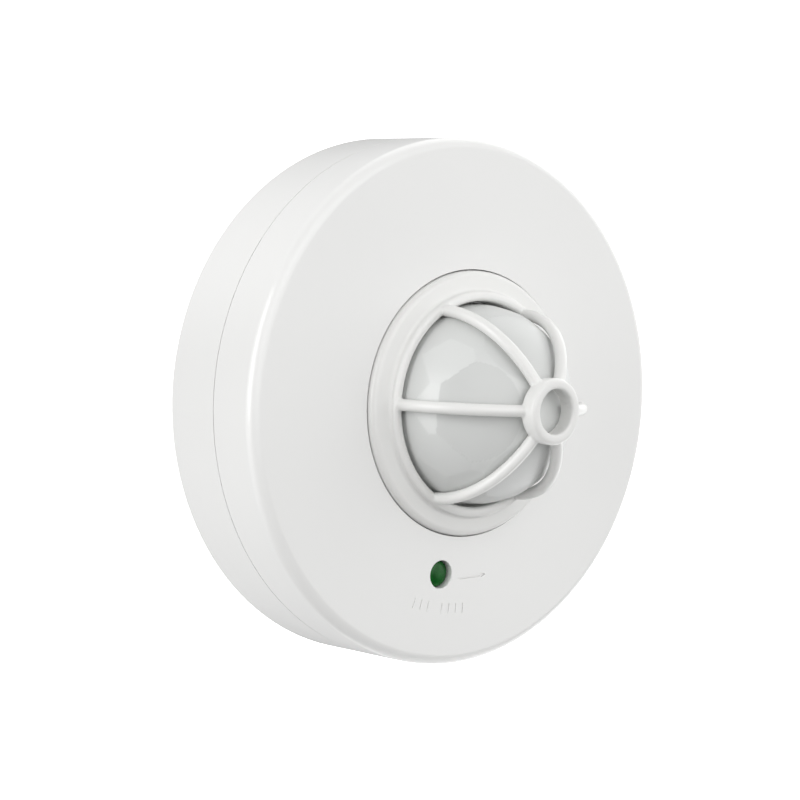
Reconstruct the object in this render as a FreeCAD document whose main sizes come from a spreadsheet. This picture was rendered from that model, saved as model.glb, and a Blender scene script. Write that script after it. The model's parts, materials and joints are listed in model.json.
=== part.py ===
import FreeCAD, Part
import math
import os
import re
import Sketcher

# A round, wall- or ceiling-mounted passive infrared motion sensor. A shallow base screws to the wall and
# holds the wiring. The head twists off it: a cover with the circuit board, a domed lens and an indicator.
# A guard cage with a collar twists off the head and uncovers three trimmers.
#
# Every size is worked out in the sensor's own directions: x to the right, y up and z out of the wall,
# with zero at the centre of the back face. OUTWARD turns these into the part's frame, where the sensor
# faces -Y and +Z is up. Angles are in degrees, counter-clockwise from +x, seen from the front.

VECTOR = FreeCAD.Vector
X_AXIS = VECTOR(1, 0, 0)
Y_AXIS = VECTOR(0, 1, 0)
Z_AXIS = VECTOR(0, 0, 1)
OUTWARD = FreeCAD.Rotation(X_AXIS, 90)
ALONG = {
    "out": FreeCAD.Rotation(),
    "right": FreeCAD.Rotation(Y_AXIS, 90),
    "up": FreeCAD.Rotation(X_AXIS, -90),
}
FUNCTIONS = ("sin", "cos", "sqrt")

DIMENSIONS = {
    # housing
    "back_r": 59.0,
    "front_r": 57.2,
    "depth": 27.0,
    "parting_depth": 14.3,
    "seam_gap": 0.2,
    "wall": 2.0,
    "floor_thick": 2.0,
    "face_thick": 2.2,
    "edge_round": 2.5,
    # bayonet between base and head
    "leg_count": 3,
    "leg_inner_r": 52.6,
    "leg_outer_r": 54.2,
    "foot_r": 55.8,
    "foot_back": 8.6,
    "foot_thick": 1.8,
    "foot_span": 12.0,
    "ledge_r": 54.6,
    "ledge_back": 10.8,
    "ledge_thick": 1.8,
    "head_twist": 13.5,
    "stop_margin": 1.4,
    "stop_span": 2.0,
    # wall fixings and cable entry
    "slot_spacing": 84.0,
    "slot_length": 10.0,
    "slot_width": 4.5,
    "entry_r": 8.5,
    "entry_recess_r": 9.6,
    "entry_recess": 0.8,
    "cable_r": 5.0,
    "grommet_flange_r": 10.8,
    "grommet_height": 3.2,
    "grommet_lead_in": 0.6,
    # terminal block
    "pole_pitch": 14.0,
    "block_half_length": 21.0,
    "block_low": -45.0,
    "block_high": -31.0,
    "block_top": 11.0,
    "ear_reach": 28.0,
    "ear_back": 4.0,
    "ear_top": 6.0,
    "ear_screw_x": 24.5,
    "ear_screw_y": -37.0,
    "cavity_half": 3.2,
    "cavity_back": 3.6,
    "cavity_top": 9.8,
    "cavity_low": -44.0,
    "clamp_half": 3.0,
    "clamp_back": 3.8,
    "clamp_top": 9.6,
    "clamp_high": -37.0,
    "wire_hole_half": 1.9,
    "wire_hole_back": 4.6,
    "wire_hole_top": 7.8,
    "pole_screw_y": -40.5,
    "access_r": 2.2,
    "foot_setback": 3.0,
    "clamp_lift": 0.4,
    "screw_past_clamp": 0.8,
    "driver_play": 0.2,
    # cable clamp
    "saddle_x": 10.0,
    "saddle_y": -20.0,
    "saddle_back": 8.0,
    "saddle_thick": 2.6,
    "saddle_half_width": 3.5,
    "saddle_half_length": 13.5,
    "saddle_arch_rise": 1.4,
    "saddle_screw_past": 5.0,
    # plug-in contacts between base and head
    "contact_r": 36.0,
    "contact_pitch": 24.0,
    "contact_span": 5.0,
    "blade_half": 0.4,
    "contact_play": 0.1,
    "leaf_thick": 0.5,
    "web_thick": 0.4,
    "leaf_top": 14.2,
    "blade_back": 11.8,
    "holder_back": 14.6,
    "holder_half": 3.0,
    "holder_span": 62.0,
    # small screws
    "screw_r": 1.4,
    "pilot_r": 1.45,
    "clearance_r": 1.7,
    "head_r": 2.6,
    "head_height": 1.4,
    "recess_half": 0.35,
    "recess_depth": 0.7,
    "boss_r": 3.4,
    "screw_end_gap": 0.2,
    # board
    "board_r": 50.0,
    "board_back": 16.2,
    "board_front": 17.8,
    "board_screw_rho": 46.0,
    "board_screw_angle": 60.0,
    "board_pilot_top": 22.6,
    # recess under the collar
    "recess_r": 29.25,
    "recess_wall_r": 31.0,
    "recess_back": 22.9,
    "recess_floor": 24.4,
    # lens
    "lens_r": 21.6,
    "lens_rise": 19.3,
    "lens_centre": 29.4,
    "lens_thick": 1.0,
    "lens_hole_r": 22.0,
    "lens_flange_r": 23.2,
    "lens_flange": 1.2,
    "retainer_thick": 1.2,
    "retainer_inner_r": 19.6,
    "ear_rho": 26.2,
    "ear_r": 28.4,
    "ear_span": 14.0,
    "ear_angle": 40.0,
    "small_screw_r": 0.9,
    "small_pilot_r": 0.95,
    "small_hole_r": 1.1,
    "small_head_r": 1.8,
    "small_boss_r": 2.1,
    "lens_pilot_depth": 0.9,
    "lens_screw_past": 0.7,
    "ear_overlap": 1.0,
    # guard
    "collar_r": 28.9,
    "collar_top_r": 28.5,
    "collar_back": 24.6,
    "collar_top": 28.75,
    "collar_round": 1.3,
    "ring_inner_r": 22.3,
    "ring_outer_r": 24.5,
    "ring_top": 30.4,
    "ring_round": 0.9,
    "ring_gap": 0.2,
    "ring_foot_r": 25.6,
    "ring_foot": 1.0,
    "rib_count": 6,
    "rib_angle": -3.15,
    "rib_r": 1.22,
    "rib_reach": 22.9,
    "rib_rise": 21.1,
    "rib_base": 29.2,
    "hub_outer_r": 6.9,
    "hub_bore_r": 4.65,
    "hub_back": 48.9,
    "hub_front": 52.7,
    "hub_round": 0.9,
    "lug_angle": 58.0,
    "lug_span": 10.0,
    "lug_inner_r": 25.8,
    "lug_outer_r": 27.0,
    "lug_foot_r": 28.2,
    "lug_back": 21.2,
    "lug_foot": 1.3,
    "guard_twist": 20.0,
    "slot_inner_r": 25.3,
    "slot_outer_r": 27.4,
    "slot_wide_r": 28.6,
    "slot_margin": 1.5,
    # trimmers
    "trimmer_rho": 26.1,
    "trimmer_angle": 120.0,
    "trimmer_pitch": 22.0,
    "trimmer_half": 2.5,
    "trimmer_top": 21.4,
    "trimmer_bore_r": 1.2,
    "trimmer_bore_past": 0.3,
    "knob_r": 1.9,
    "knob_back": 21.7,
    "knob_top": 24.3,
    "stem_r": 1.15,
    "stem_back": 18.6,
    "window_r": 2.3,
    "arrow_tail": 1.5,
    "arrow_nose": 1.2,
    "arrow_bar_half": 1.0,
    "arrow_bar_low": 0.2,
    "arrow_bar_high": 0.8,
    # indicator
    "led_rho": 37.6,
    "led_angle": 256.3,
    "led_hole_r": 3.05,
    "led_tube_r": 4.3,
    "led_tube": 3.6,
    "led_r": 2.5,
    "led_flange_r": 2.9,
    "led_flange": 1.0,
    "led_back": 18.4,
    "led_tip": 26.3,
    "led_leg_x": 1.27,
    # engraved marks
    "mark_depth": 0.22,
    "arrow_rho": 38.3,
    "arrow_half_width": 0.17,
    "arrow_centre": 269.1,
    "arrow_span": 10.0,
    "arrow_head": 1.4,
    "arrow_head_half": 0.55,
    "tick_rho": 44.8,
    "tick_half_length": 1.1,
    "tick_span": 0.4,
    "tick_first": 248.2,
    "tick_pitch": 2.6,
    # infrared detector
    "can_r": 4.1,
    "can_flange_r": 4.6,
    "can_flange": 0.5,
    "can_back": 18.6,
    "can_top": 22.8,
    "can_wall": 0.3,
    "window_half_x": 2.0,
    "window_half_y": 1.5,
    "pin_r": 0.22,
    "pin_rho": 2.5,
    "pane_below": 0.05,
    "first_pin_angle": 45.0,
    "pin_step": 90.0,
    # relay
    "relay_x": 0.0,
    "relay_y": 25.0,
    "relay_half_x": 10.0,
    "relay_half_y": 5.2,
    "relay_back": 3.7,
    "relay_wall": 0.7,
    "coil_z": 9.6,
    "coil_r": 3.0,
    "cheek_r": 3.6,
    "cheek": 0.6,
    "coil_left": -7.2,
    "coil_right": 1.6,
    "yoke_thick": 0.9,
    "yoke_half_width": 3.2,
    "yoke_back": 13.9,
    "armature_gap": 0.7,
    "armature_thick": 0.8,
    "armature_back": 5.4,
    "armature_top": 13.7,
    # other components
    "capacitor_r": 5.0,
    "capacitor_back": 4.4,
    "capacitor_x": 23.0,
    "capacitor_y": 21.0,
    "film_half_x": 8.8,
    "film_half_y": 2.8,
    "film_y": 38.0,
    "film_back": 5.0,
    "varistor_r": 4.4,
    "varistor_thick": 3.4,
    "varistor_x": 27.0,
    "varistor_y": 8.0,
    "varistor_z": 11.0,
    "lead_r": 0.4,
    "varistor_leg_x": 2.5,
    "lead_over": 1.2,
    "fuse_r": 1.8,
    "fuse_length": 9.0,
    "fuse_x": -31.0,
    "fuse_y": 32.0,
    "fuse_z": 14.0,
    "rectifier_x": 14.0,
    "rectifier_y": 10.0,
    "rectifier_half_x": 4.2,
    "rectifier_half_y": 3.2,
    "rectifier_thick": 3.2,
    "case_r": 2.3,
    "case_flat": 1.1,
    "case_length": 4.6,
    "case_leg": 1.4,
    "case_leg_pitch": 1.27,
    "case_leg_r": 0.2,
    "regulator_x": -16.0,
    "regulator_y": 8.0,
    "transistor_x": -4.0,
    "transistor_y": 15.0,
    "cell_r": 2.6,
    "cell_height": 2.2,
    "cell_x": -10.5,
    "cell_y": -8.0,
    "chip_x": 0.0,
    "chip_y": -37.0,
    "chip_half_x": 5.0,
    "chip_half_y": 2.0,
    "chip_top": 19.5,
    "chip_leg": 0.4,
    "chip_pitch": 1.27,
    "chip_leg_reach": 1.0,
    "chip_leg_top": 0.6,
    "resistor_r": 1.0,
    "resistor_length": 5.0,
    "resistor_x": -39.0,
    "resistor_y": -17.0,
    "resistor_pitch": 3.4,
    "resistor_z": 19.2,
}

doc = FreeCAD.newDocument("motion_sensor")
dims = doc.addObject("Spreadsheet::Sheet", "dims")
for row, (word, number) in enumerate(DIMENSIONS.items(), start=1):
    dims.set("A%d" % row, word)
    dims.set("B%d" % row, str(number))
    dims.setAlias("B%d" % row, word)
doc.recompute()

subparts = []


def size(text):
    """The number that a formula in the sheet's words has now."""
    value = dims.evalExpression(text)
    return float(getattr(value, "Value", value))


def bound(text):
    """The same formula as other objects must write it."""
    def with_sheet(found):
        word = found.group(0)
        return word if word in FUNCTIONS else "dims." + word
    return re.sub(r"[a-z_]\w*", with_sheet, text)


def drafted(height):
    """The housing's outer radius at a height: the side leans in from the wall to the face."""
    return "(back_r - (back_r - front_r) * (%s) / depth)" % height


def polar(rho, angle):
    """x and y of a point at a distance and an angle from the sensor's axis."""
    return "(%s) * cos(%s)" % (rho, angle), "(%s) * sin(%s)" % (rho, angle)


def rectangle(left, right, low, high):
    return [(left, low), (right, low), (right, high), (left, high)]


def keep(item, label):
    item.Label = label
    subparts.append(item)
    return item


# ---- Bodies made of sketches -------------------------------------------------------------------------

def new_body(label):
    body = doc.addObject("PartDesign::Body", label)
    body.Placement = FreeCAD.Placement(VECTOR(), OUTWARD)
    return keep(body, label)


def origin_part(body, role):
    return [part for part in body.Origin.OriginFeatures if part.Role == role][0]


def add_polygon(sketch, points):
    """A closed outline of straight lines, with every corner tied to its formulas."""
    first = sketch.GeometryCount
    corners = [(size(across), size(up)) for across, up in points]
    count = len(points)
    for index, start in enumerate(corners):
        end = corners[(index + 1) % count]
        sketch.addGeometry(Part.LineSegment(VECTOR(*start, 0), VECTOR(*end, 0)))
    for index in range(count):
        following = first + (index + 1) % count
        sketch.addConstraint(Sketcher.Constraint("Coincident", first + index, 2, following, 1))
    for index, (across, up) in enumerate(points):
        for kind, text in (("DistanceX", across), ("DistanceY", up)):
            number = sketch.addConstraint(Sketcher.Constraint(kind, first + index, 1, size(text)))
            sketch.setExpression("Constraints[%d]" % number, bound(text))


def add_circle(sketch, across, up, radius):
    index = sketch.GeometryCount
    sketch.addGeometry(Part.Circle(VECTOR(size(across), size(up), 0), Z_AXIS, size(radius)))
    ties = [
        (Sketcher.Constraint("DistanceX", index, 3, size(across)), across),
        (Sketcher.Constraint("DistanceY", index, 3, size(up)), up),
        (Sketcher.Constraint("Radius", index, size(radius)), radius),
    ]
    for tie, text in ties:
        sketch.setExpression("Constraints[%d]" % sketch.addConstraint(tie), bound(text))


def new_sketch(body, name, role, loops):
    """Loops are lists of corners, or (x, y, radius) for a circle."""
    sketch = body.newObject("Sketcher::SketchObject", name + "_sketch")
    sketch.AttachmentSupport = [(origin_part(body, role), "")]
    sketch.MapMode = "FlatFace"
    for loop in loops:
        if isinstance(loop, tuple):
            add_circle(sketch, *loop)
        else:
            add_polygon(sketch, loop)
    return sketch


def turned(body, name, loops, kind="PartDesign::Revolution", centre="0", span="360"):
    """Turns outlines of (radius, height) about the sensor's axis, half the span to each side of centre."""
    before = body.Shape.Volume if body.Tip else 0.0
    sketch = new_sketch(body, name, "XZ_Plane", loops)
    sketch.AttachmentOffset = FreeCAD.Placement(VECTOR(), FreeCAD.Rotation(Y_AXIS, size(centre)))
    sketch.setExpression(".AttachmentOffset.Rotation.Angle", bound(centre))
    feature = body.newObject(kind, name)
    feature.Profile = sketch
    feature.ReferenceAxis = (sketch, ["V_Axis"])
    feature.Midplane = True
    feature.setExpression("Angle", bound(span))
    doc.recompute()
    check_changed(body, name, before, kind == "PartDesign::Groove")
    return feature


def arc_block(body, name, inner, outer, back, front, centre, span):
    return turned(body, name, [rectangle(inner, outer, back, front)], centre=centre, span=span)


def arc_cut(body, name, inner, outer, back, front, centre, span):
    outline = [rectangle(inner, outer, back, front)]
    return turned(body, name, outline, "PartDesign::Groove", centre, span)


def raised(body, name, loops, back, front):
    """A pad of flat outlines from one height to another."""
    before = body.Shape.Volume if body.Tip else 0.0
    sketch = new_sketch(body, name, "XY_Plane", loops)
    sketch.setExpression(".AttachmentOffset.Base.z", bound(back))
    feature = body.newObject("PartDesign::Pad", name)
    feature.Profile = sketch
    feature.setExpression("Length", bound("(%s) - (%s)" % (front, back)))
    doc.recompute()
    check_changed(body, name, before, False)
    return feature


def sunk(body, name, loops, back, front):
    """A pocket of flat outlines between two heights, cut from the front one."""
    before = body.Shape.Volume
    sketch = new_sketch(body, name, "XY_Plane", loops)
    sketch.setExpression(".AttachmentOffset.Base.z", bound(front))
    feature = body.newObject("PartDesign::Pocket", name)
    feature.Profile = sketch
    feature.setExpression("Length", bound("(%s) - (%s)" % (front, back)))
    doc.recompute()
    check_changed(body, name, before, True)
    return feature


def check_changed(body, name, before, cutting):
    change = body.Shape.Volume - before
    if (cutting and change >= 0) or (not cutting and change <= 0):
        raise RuntimeError("%s in %s changed the volume by %.4f" % (name, body.Label, change))


def repeated(body, name, features, count):
    """Repeats features evenly round the sensor's axis."""
    pattern = body.newObject("PartDesign::PolarPattern", name)
    pattern.Originals = features
    pattern.Axis = (origin_part(body, "Z_Axis"), [""])
    pattern.Angle = 360
    pattern.setExpression("Occurrences", bound(count))
    body.Tip = pattern
    doc.recompute()
    return pattern


def rounded(body, name, feature, circles, radius):
    """Rounds the circular edges that have the given (radius, height)."""
    near = 0.01
    names = []
    for index, edge in enumerate(feature.Shape.Edges, start=1):
        if not isinstance(edge.Curve, Part.Circle):
            continue
        for across, height in circles:
            same_r = abs(edge.Curve.Radius - size(across)) < near
            same_z = abs(edge.Curve.Center.z - size(height)) < near
            if same_r and same_z:
                names.append("Edge%d" % index)
    fillet = body.newObject("PartDesign::Fillet", name)
    fillet.Base = (feature, names)
    fillet.setExpression("Radius", bound(radius))
    doc.recompute()
    return fillet


# ---- Solids made of primitives -----------------------------------------------------------------------

def primitive(kind, name, place, along="out", turn=0.0, **sizes):
    """A Part primitive whose own z axis points out, right or up; place is x, y and z."""
    item = doc.addObject(kind, name)
    rotation = OUTWARD.multiply(FreeCAD.Rotation(Z_AXIS, turn)).multiply(ALONG[along])
    item.Placement = FreeCAD.Placement(VECTOR(), rotation)
    across, up, height = place
    item.setExpression(".Placement.Base.x", bound(across))
    item.setExpression(".Placement.Base.y", bound("-(%s)" % height))
    item.setExpression(".Placement.Base.z", bound(up))
    for field, text in sizes.items():
        item.setExpression(field, bound(text))
    return item


def block(name, left, right, low, high, back, front):
    return primitive(
        "Part::Box", name, (left, low, back),
        Length="(%s) - (%s)" % (right, left),
        Width="(%s) - (%s)" % (high, low),
        Height="(%s) - (%s)" % (front, back),
    )


def rod(name, place, radius, length, along="out"):
    return primitive("Part::Cylinder", name, place, along, Radius=radius, Height=length)


def joined(name, items):
    whole = doc.addObject("Part::MultiFuse", name)
    whole.Shapes = items
    return whole


def carved(name, solid, tools):
    result = doc.addObject("Part::Cut", name)
    result.Base = solid
    result.Tool = tools[0] if len(tools) == 1 else joined(name + "_tools", tools)
    return result


def screw(name, place, shank_r, shank_length, top_r, facing=1):
    """A pan-head screw with a straight slot. place is the head's seat; facing 1 has its head in front."""
    across, up, seat = place
    if facing > 0:
        head_back = seat
        shank_back = "(%s) - (%s)" % (seat, shank_length)
        slot_back = "(%s) + head_height - recess_depth" % seat
    else:
        head_back = "(%s) - head_height" % seat
        shank_back = seat
        slot_back = head_back
    head = rod(name + "_head", (across, up, head_back), top_r, "head_height")
    shank = rod(name + "_shank", (across, up, shank_back), shank_r, shank_length)
    slot = block(
        name + "_slot",
        "(%s) - (%s)" % (across, top_r), "(%s) + (%s)" % (across, top_r),
        "(%s) - recess_half" % up, "(%s) + recess_half" % up,
        slot_back, "(%s) + recess_depth" % slot_back,
    )
    return carved(name, joined(name + "_blank", [head, shank]), [slot])


# ---- Base: what stays on the wall --------------------------------------------------------------------

def base_shell():
    body = new_body("base_shell")
    section = [
        ("entry_recess_r", "0"),
        ("back_r", "0"),
        (drafted("parting_depth"), "parting_depth"),
        (drafted("parting_depth") + " - wall", "parting_depth"),
        (drafted("floor_thick") + " - wall", "floor_thick"),
        ("entry_r", "floor_thick"),
        ("entry_r", "entry_recess"),
        ("entry_recess_r", "entry_recess"),
    ]
    turned(body, "shell", [section])

    # Ledges that hold the head's feet, each with a stop before and after the foot's travel.
    stop_front = "ledge_back + ledge_thick"
    wall_middle = "back_r - wall"
    ledge = arc_block(body, "ledge", "ledge_r", wall_middle, "ledge_back", stop_front, "0", "foot_span")
    to_stop = "(foot_span + stop_span) / 2 + stop_margin"
    locked_stop = arc_block(
        body, "locked_stop", "ledge_r", wall_middle, "foot_back", stop_front,
        "-(%s)" % to_stop, "stop_span",
    )
    open_stop = arc_block(
        body, "open_stop", "ledge_r", wall_middle, "foot_back", stop_front,
        "head_twist + " + to_stop, "stop_span",
    )
    repeated(body, "bayonet", [ledge, locked_stop, open_stop], "leg_count")

    posts = [(side + "ear_screw_x", "ear_screw_y", "boss_r") for side in ("-", "")]
    raised(body, "block_posts", posts, "floor_thick", "ear_back")
    posts = [(side + "saddle_x", "saddle_y", "boss_r") for side in ("-", "")]
    raised(body, "saddle_posts", posts, "floor_thick", "saddle_back")
    pilots = [(side + "ear_screw_x", "ear_screw_y", "pilot_r") for side in ("-", "")]
    sunk(body, "block_pilots", pilots, "floor_thick / 2", "ear_back")
    pilots = [(side + "saddle_x", "saddle_y", "pilot_r") for side in ("-", "")]
    sunk(body, "saddle_pilots", pilots, "floor_thick", "saddle_back")

    # Slots for the wall screws: a straight middle with a round end at each side.
    straight = "(slot_length - slot_width) / 2"
    for name, side in (("left", "-"), ("right", "")):
        centre = side + "slot_spacing / 2"
        middle = rectangle(
            "%s - %s" % (centre, straight), "%s + %s" % (centre, straight),
            "-slot_width / 2", "slot_width / 2",
        )
        sunk(body, name + "_slot", [middle], "0", "floor_thick")
        for end, sign in (("inner", "-"), ("outer", "+")):
            circle = ("%s %s %s" % (centre, sign, straight), "0", "slot_width / 2")
            sunk(body, "%s_slot_%s" % (name, end), [circle], "0", "floor_thick")


def cable_grommet():
    body = new_body("cable_grommet")
    section = [
        ("cable_r", "0"),
        ("entry_recess_r", "0"),
        ("entry_recess_r", "entry_recess"),
        ("entry_r", "entry_recess"),
        ("entry_r", "floor_thick"),
        ("grommet_flange_r", "floor_thick"),
        ("grommet_flange_r - grommet_lead_in", "grommet_height"),
        ("cable_r", "grommet_height"),
    ]
    turned(body, "ring", [section])


POLES = {"left_pole": "-pole_pitch", "middle_pole": "0", "right_pole": "pole_pitch"}


def pole_box(name, centre, half, low, high, back, front):
    left = "(%s) - %s" % (centre, half)
    right = "(%s) + %s" % (centre, half)
    return block(name, left, right, low, high, back, front)


def terminal_block_body():
    middle = block(
        "block_middle", "-block_half_length", "block_half_length",
        "block_low", "block_high", "ear_back", "block_top",
    )
    foot = block(
        "block_foot", "-ear_reach", "ear_reach",
        "block_low + foot_setback", "block_high", "ear_back", "ear_top",
    )
    tools = []
    for name, centre in POLES.items():
        tools.append(pole_box(
            name + "_cavity", centre, "cavity_half", "cavity_low", "block_high", "cavity_back", "cavity_top",
        ))
        tools.append(rod(name + "_access", (centre, "pole_screw_y", "ear_back"), "access_r", "block_top"))
    for side in ("-", ""):
        place = (side + "ear_screw_x", "ear_screw_y", "floor_thick")
        tools.append(rod("ear_hole", place, "clearance_r", "block_top"))
    keep(carved("block", joined("block_blank", [middle, foot]), tools), "terminal_block_body")


def terminal_clamps():
    clamps = []
    for name, centre in POLES.items():
        cage = pole_box(
            name + "_cage", centre, "clamp_half",
            "cavity_low", "clamp_high", "clamp_back + clamp_lift", "clamp_top",
        )
        opening = pole_box(
            name + "_opening", centre, "wire_hole_half",
            "block_low", "block_high", "wire_hole_back + clamp_lift", "wire_hole_top",
        )
        thread = rod(name + "_thread", (centre, "pole_screw_y", "wire_hole_top"), "pilot_r", "clamp_top")
        clamps.append(carved(name + "_clamp", cage, [opening, thread]))
    keep(joined("clamps", clamps), "terminal_clamps")


def terminal_screws():
    screws = []
    for name, centre in POLES.items():
        place = (centre, "pole_screw_y", "clamp_top")
        length = "clamp_top - wire_hole_top + screw_past_clamp"
        screws.append(screw(name + "_screw", place, "screw_r", length, "access_r - driver_play"))
    keep(joined("pole_screws", screws), "terminal_screws")


def terminal_block_screws():
    screws = []
    for name, side in (("left", "-"), ("right", "")):
        place = (side + "ear_screw_x", "ear_screw_y", "ear_top")
        length = "ear_top - floor_thick / 2 - screw_end_gap"
        screws.append(screw(name + "_ear_screw", place, "screw_r", length, "head_r"))
    keep(joined("ear_screws", screws), "terminal_block_screws")


def cable_clamp():
    bar = block(
        "saddle_bar", "-saddle_half_length", "saddle_half_length",
        "saddle_y - saddle_half_width", "saddle_y + saddle_half_width",
        "saddle_back", "saddle_back + saddle_thick",
    )
    cable = rod(
        "saddle_arch", ("0", "saddle_y - saddle_half_width", "saddle_back - cable_r + saddle_arch_rise"),
        "cable_r", "2 * saddle_half_width", "up",
    )
    holes = [
        rod("saddle_hole", (side + "saddle_x", "saddle_y", "saddle_back"), "clearance_r", "saddle_thick")
        for side in ("-", "")
    ]
    keep(carved("saddle", bar, [cable] + holes), "cable_clamp")


def cable_clamp_screws():
    screws = []
    for name, side in (("left", "-"), ("right", "")):
        place = (side + "saddle_x", "saddle_y", "saddle_back + saddle_thick")
        length = "saddle_thick + saddle_screw_past"
        screws.append(screw(name + "_saddle_screw", place, "screw_r", length, "head_r"))
    keep(joined("saddle_screws", screws), "cable_clamp_screws")


CONTACTS = ("270 - contact_pitch", "270", "270 + contact_pitch")


def contact_springs():
    """Open channels, concentric with the sensor, that the head's blades turn into."""
    body = new_body("contact_springs")
    slot_inner = "contact_r - blade_half - contact_play"
    slot_outer = "contact_r + blade_half + contact_play"
    section = [
        (slot_inner + " - leaf_thick", "block_top"),
        (slot_outer + " + leaf_thick", "block_top"),
        (slot_outer + " + leaf_thick", "leaf_top"),
        (slot_outer, "leaf_top"),
        (slot_outer, "block_top + web_thick"),
        (slot_inner, "block_top + web_thick"),
        (slot_inner, "leaf_top"),
        (slot_inner + " - leaf_thick", "leaf_top"),
    ]
    for number, centre in enumerate(CONTACTS, start=1):
        turned(body, "channel_%d" % number, [section], centre=centre, span="contact_span")


# ---- Head: cover, lens and board ---------------------------------------------------------------------

def front_cover():
    body = new_body("front_cover")
    back = "(parting_depth + seam_gap)"
    inside = "depth - face_thick"
    section = [
        (drafted(back), back),
        ("front_r", "depth"),
        ("recess_r", "depth"),
        ("recess_r", "recess_floor"),
        ("lens_hole_r", "recess_floor"),
        ("lens_hole_r", "recess_back"),
        ("recess_wall_r", "recess_back"),
        ("recess_wall_r", inside),
        (drafted(inside) + " - wall", inside),
        (drafted(back) + " - wall", back),
    ]
    shell = turned(body, "shell", [section])
    rounded(body, "front_edge", shell, [("front_r", "depth")], "edge_round")

    leg = arc_block(body, "leg", "leg_inner_r", "leg_outer_r", "foot_back", inside, "0", "foot_span")
    foot = arc_block(
        body, "foot", "leg_inner_r", "foot_r", "foot_back", "foot_back + foot_thick", "0", "foot_span",
    )
    repeated(body, "legs", [leg, foot], "leg_count")

    boss_x, boss_y = polar("board_screw_rho", "board_screw_angle")
    boss = raised(body, "boss", [(boss_x, boss_y, "boss_r")], "board_front", inside)
    pilot = sunk(body, "boss_pilot", [(boss_x, boss_y, "pilot_r")], "board_front", "board_pilot_top")
    repeated(body, "board_bosses", [boss, pilot], "leg_count")

    led_x, led_y = polar("led_rho", "led_angle")
    raised(body, "led_tube", [(led_x, led_y, "led_tube_r")], inside + " - led_tube", inside)
    sunk(body, "led_hole", [(led_x, led_y, "led_hole_r")], inside + " - led_tube", "depth")

    lens_bosses(body)
    guard_slots(body)
    trimmer_windows(body)
    engraved_marks(body)


def lens_bosses(body):
    """Blind bosses behind the recess floor for the lens retainer's screws."""
    back = "recess_back - lens_flange"
    boss_x, boss_y = polar("ear_rho", "ear_angle")
    boss = raised(body, "lens_boss", [(boss_x, boss_y, "small_boss_r")], back, "recess_back")
    front = "recess_back + lens_pilot_depth"
    pilot = sunk(body, "lens_pilot", [(boss_x, boss_y, "small_pilot_r")], back, front)
    repeated(body, "lens_boss_ring", [boss, pilot], "leg_count")


def guard_slots(body):
    """Keyhole arcs in the recess floor: the guard's lugs drop in at the wide end and lock at the other."""
    narrow = arc_cut(
        body, "guard_slot", "slot_inner_r", "slot_outer_r", "recess_back", "recess_floor",
        "lug_angle + guard_twist / 2", "guard_twist + lug_span + 2 * slot_margin",
    )
    wide = arc_cut(
        body, "guard_slot_end", "slot_inner_r", "slot_wide_r", "recess_back", "recess_floor",
        "lug_angle + guard_twist", "lug_span + 2 * slot_margin",
    )
    repeated(body, "guard_slot_ring", [narrow, wide], "leg_count")


TRIMMERS = {
    "time": "trimmer_angle - trimmer_pitch",
    "light": "trimmer_angle",
    "range": "trimmer_angle + trimmer_pitch",
}


def trimmer_windows(body):
    circles = [polar("trimmer_rho", angle) + ("window_r",) for angle in TRIMMERS.values()]
    sunk(body, "trimmer_windows", circles, "recess_back", "recess_floor")


# A group of three ticks, a gap and a group of four.
TICK_PLACES = (0, 1, 2, 4, 5, 6, 7)


def engraved_marks(body):
    """A curved arrow that shows the way to open, and plain ticks beside the indicator."""
    back = "depth - mark_depth"
    arc_cut(
        body, "arrow_shaft", "arrow_rho - arrow_half_width", "arrow_rho + arrow_half_width",
        back, "depth", "arrow_centre", "arrow_span",
    )
    end = "arrow_centre + arrow_span / 2"
    inner = polar("arrow_rho - arrow_head_half", end)
    outer = polar("arrow_rho + arrow_head_half", end)
    along_x = "- arrow_head * sin(%s)" % end
    along_y = "+ arrow_head * cos(%s)" % end
    middle = polar("arrow_rho", end)
    tip = ("%s %s" % (middle[0], along_x), "%s %s" % (middle[1], along_y))
    sunk(body, "arrow_tip", [[inner, outer, tip]], back, "depth")
    for place in TICK_PLACES:
        arc_cut(
            body, "tick_%d" % place, "tick_rho - tick_half_length", "tick_rho + tick_half_length",
            back, "depth", "tick_first + tick_pitch * %d" % place, "tick_span",
        )


def lens_dome():
    centre = ("0", "0", "lens_centre")
    flange_back = "recess_back - lens_flange"
    outer = primitive(
        "Part::Ellipsoid", "lens_outer", centre,
        Radius1="lens_rise", Radius2="lens_r", Radius3="lens_r", Angle1="0", Angle2="90",
    )
    inner = primitive(
        "Part::Ellipsoid", "lens_inner", centre, Radius1="lens_rise - lens_thick",
        Radius2="lens_r - lens_thick", Radius3="lens_r - lens_thick", Angle1="0", Angle2="90",
    )
    skirt = rod("lens_skirt", ("0", "0", flange_back), "lens_r", "lens_centre - (%s)" % flange_back)
    flange = rod("lens_flange_disc", ("0", "0", flange_back), "lens_flange_r", "lens_flange")
    height = "lens_centre - (%s)" % flange_back
    bore = rod("lens_bore", ("0", "0", flange_back), "lens_r - lens_thick", height)
    keep(carved("lens", joined("lens_blank", [outer, skirt, flange]), [inner, bore]), "lens_dome")


def lens_retainer():
    body = new_body("lens_retainer")
    front = "recess_back - lens_flange"
    back = "(%s) - retainer_thick" % front
    turned(body, "ring", [rectangle("retainer_inner_r", "lens_flange_r", back, front)])
    ear_inner = "retainer_inner_r + ear_overlap"
    ear = arc_block(body, "ear", ear_inner, "ear_r", back, front, "ear_angle", "ear_span")
    hole_x, hole_y = polar("ear_rho", "ear_angle")
    hole = sunk(body, "ear_hole", [(hole_x, hole_y, "small_hole_r")], back, front)
    repeated(body, "ears", [ear, hole], "leg_count")


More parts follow.
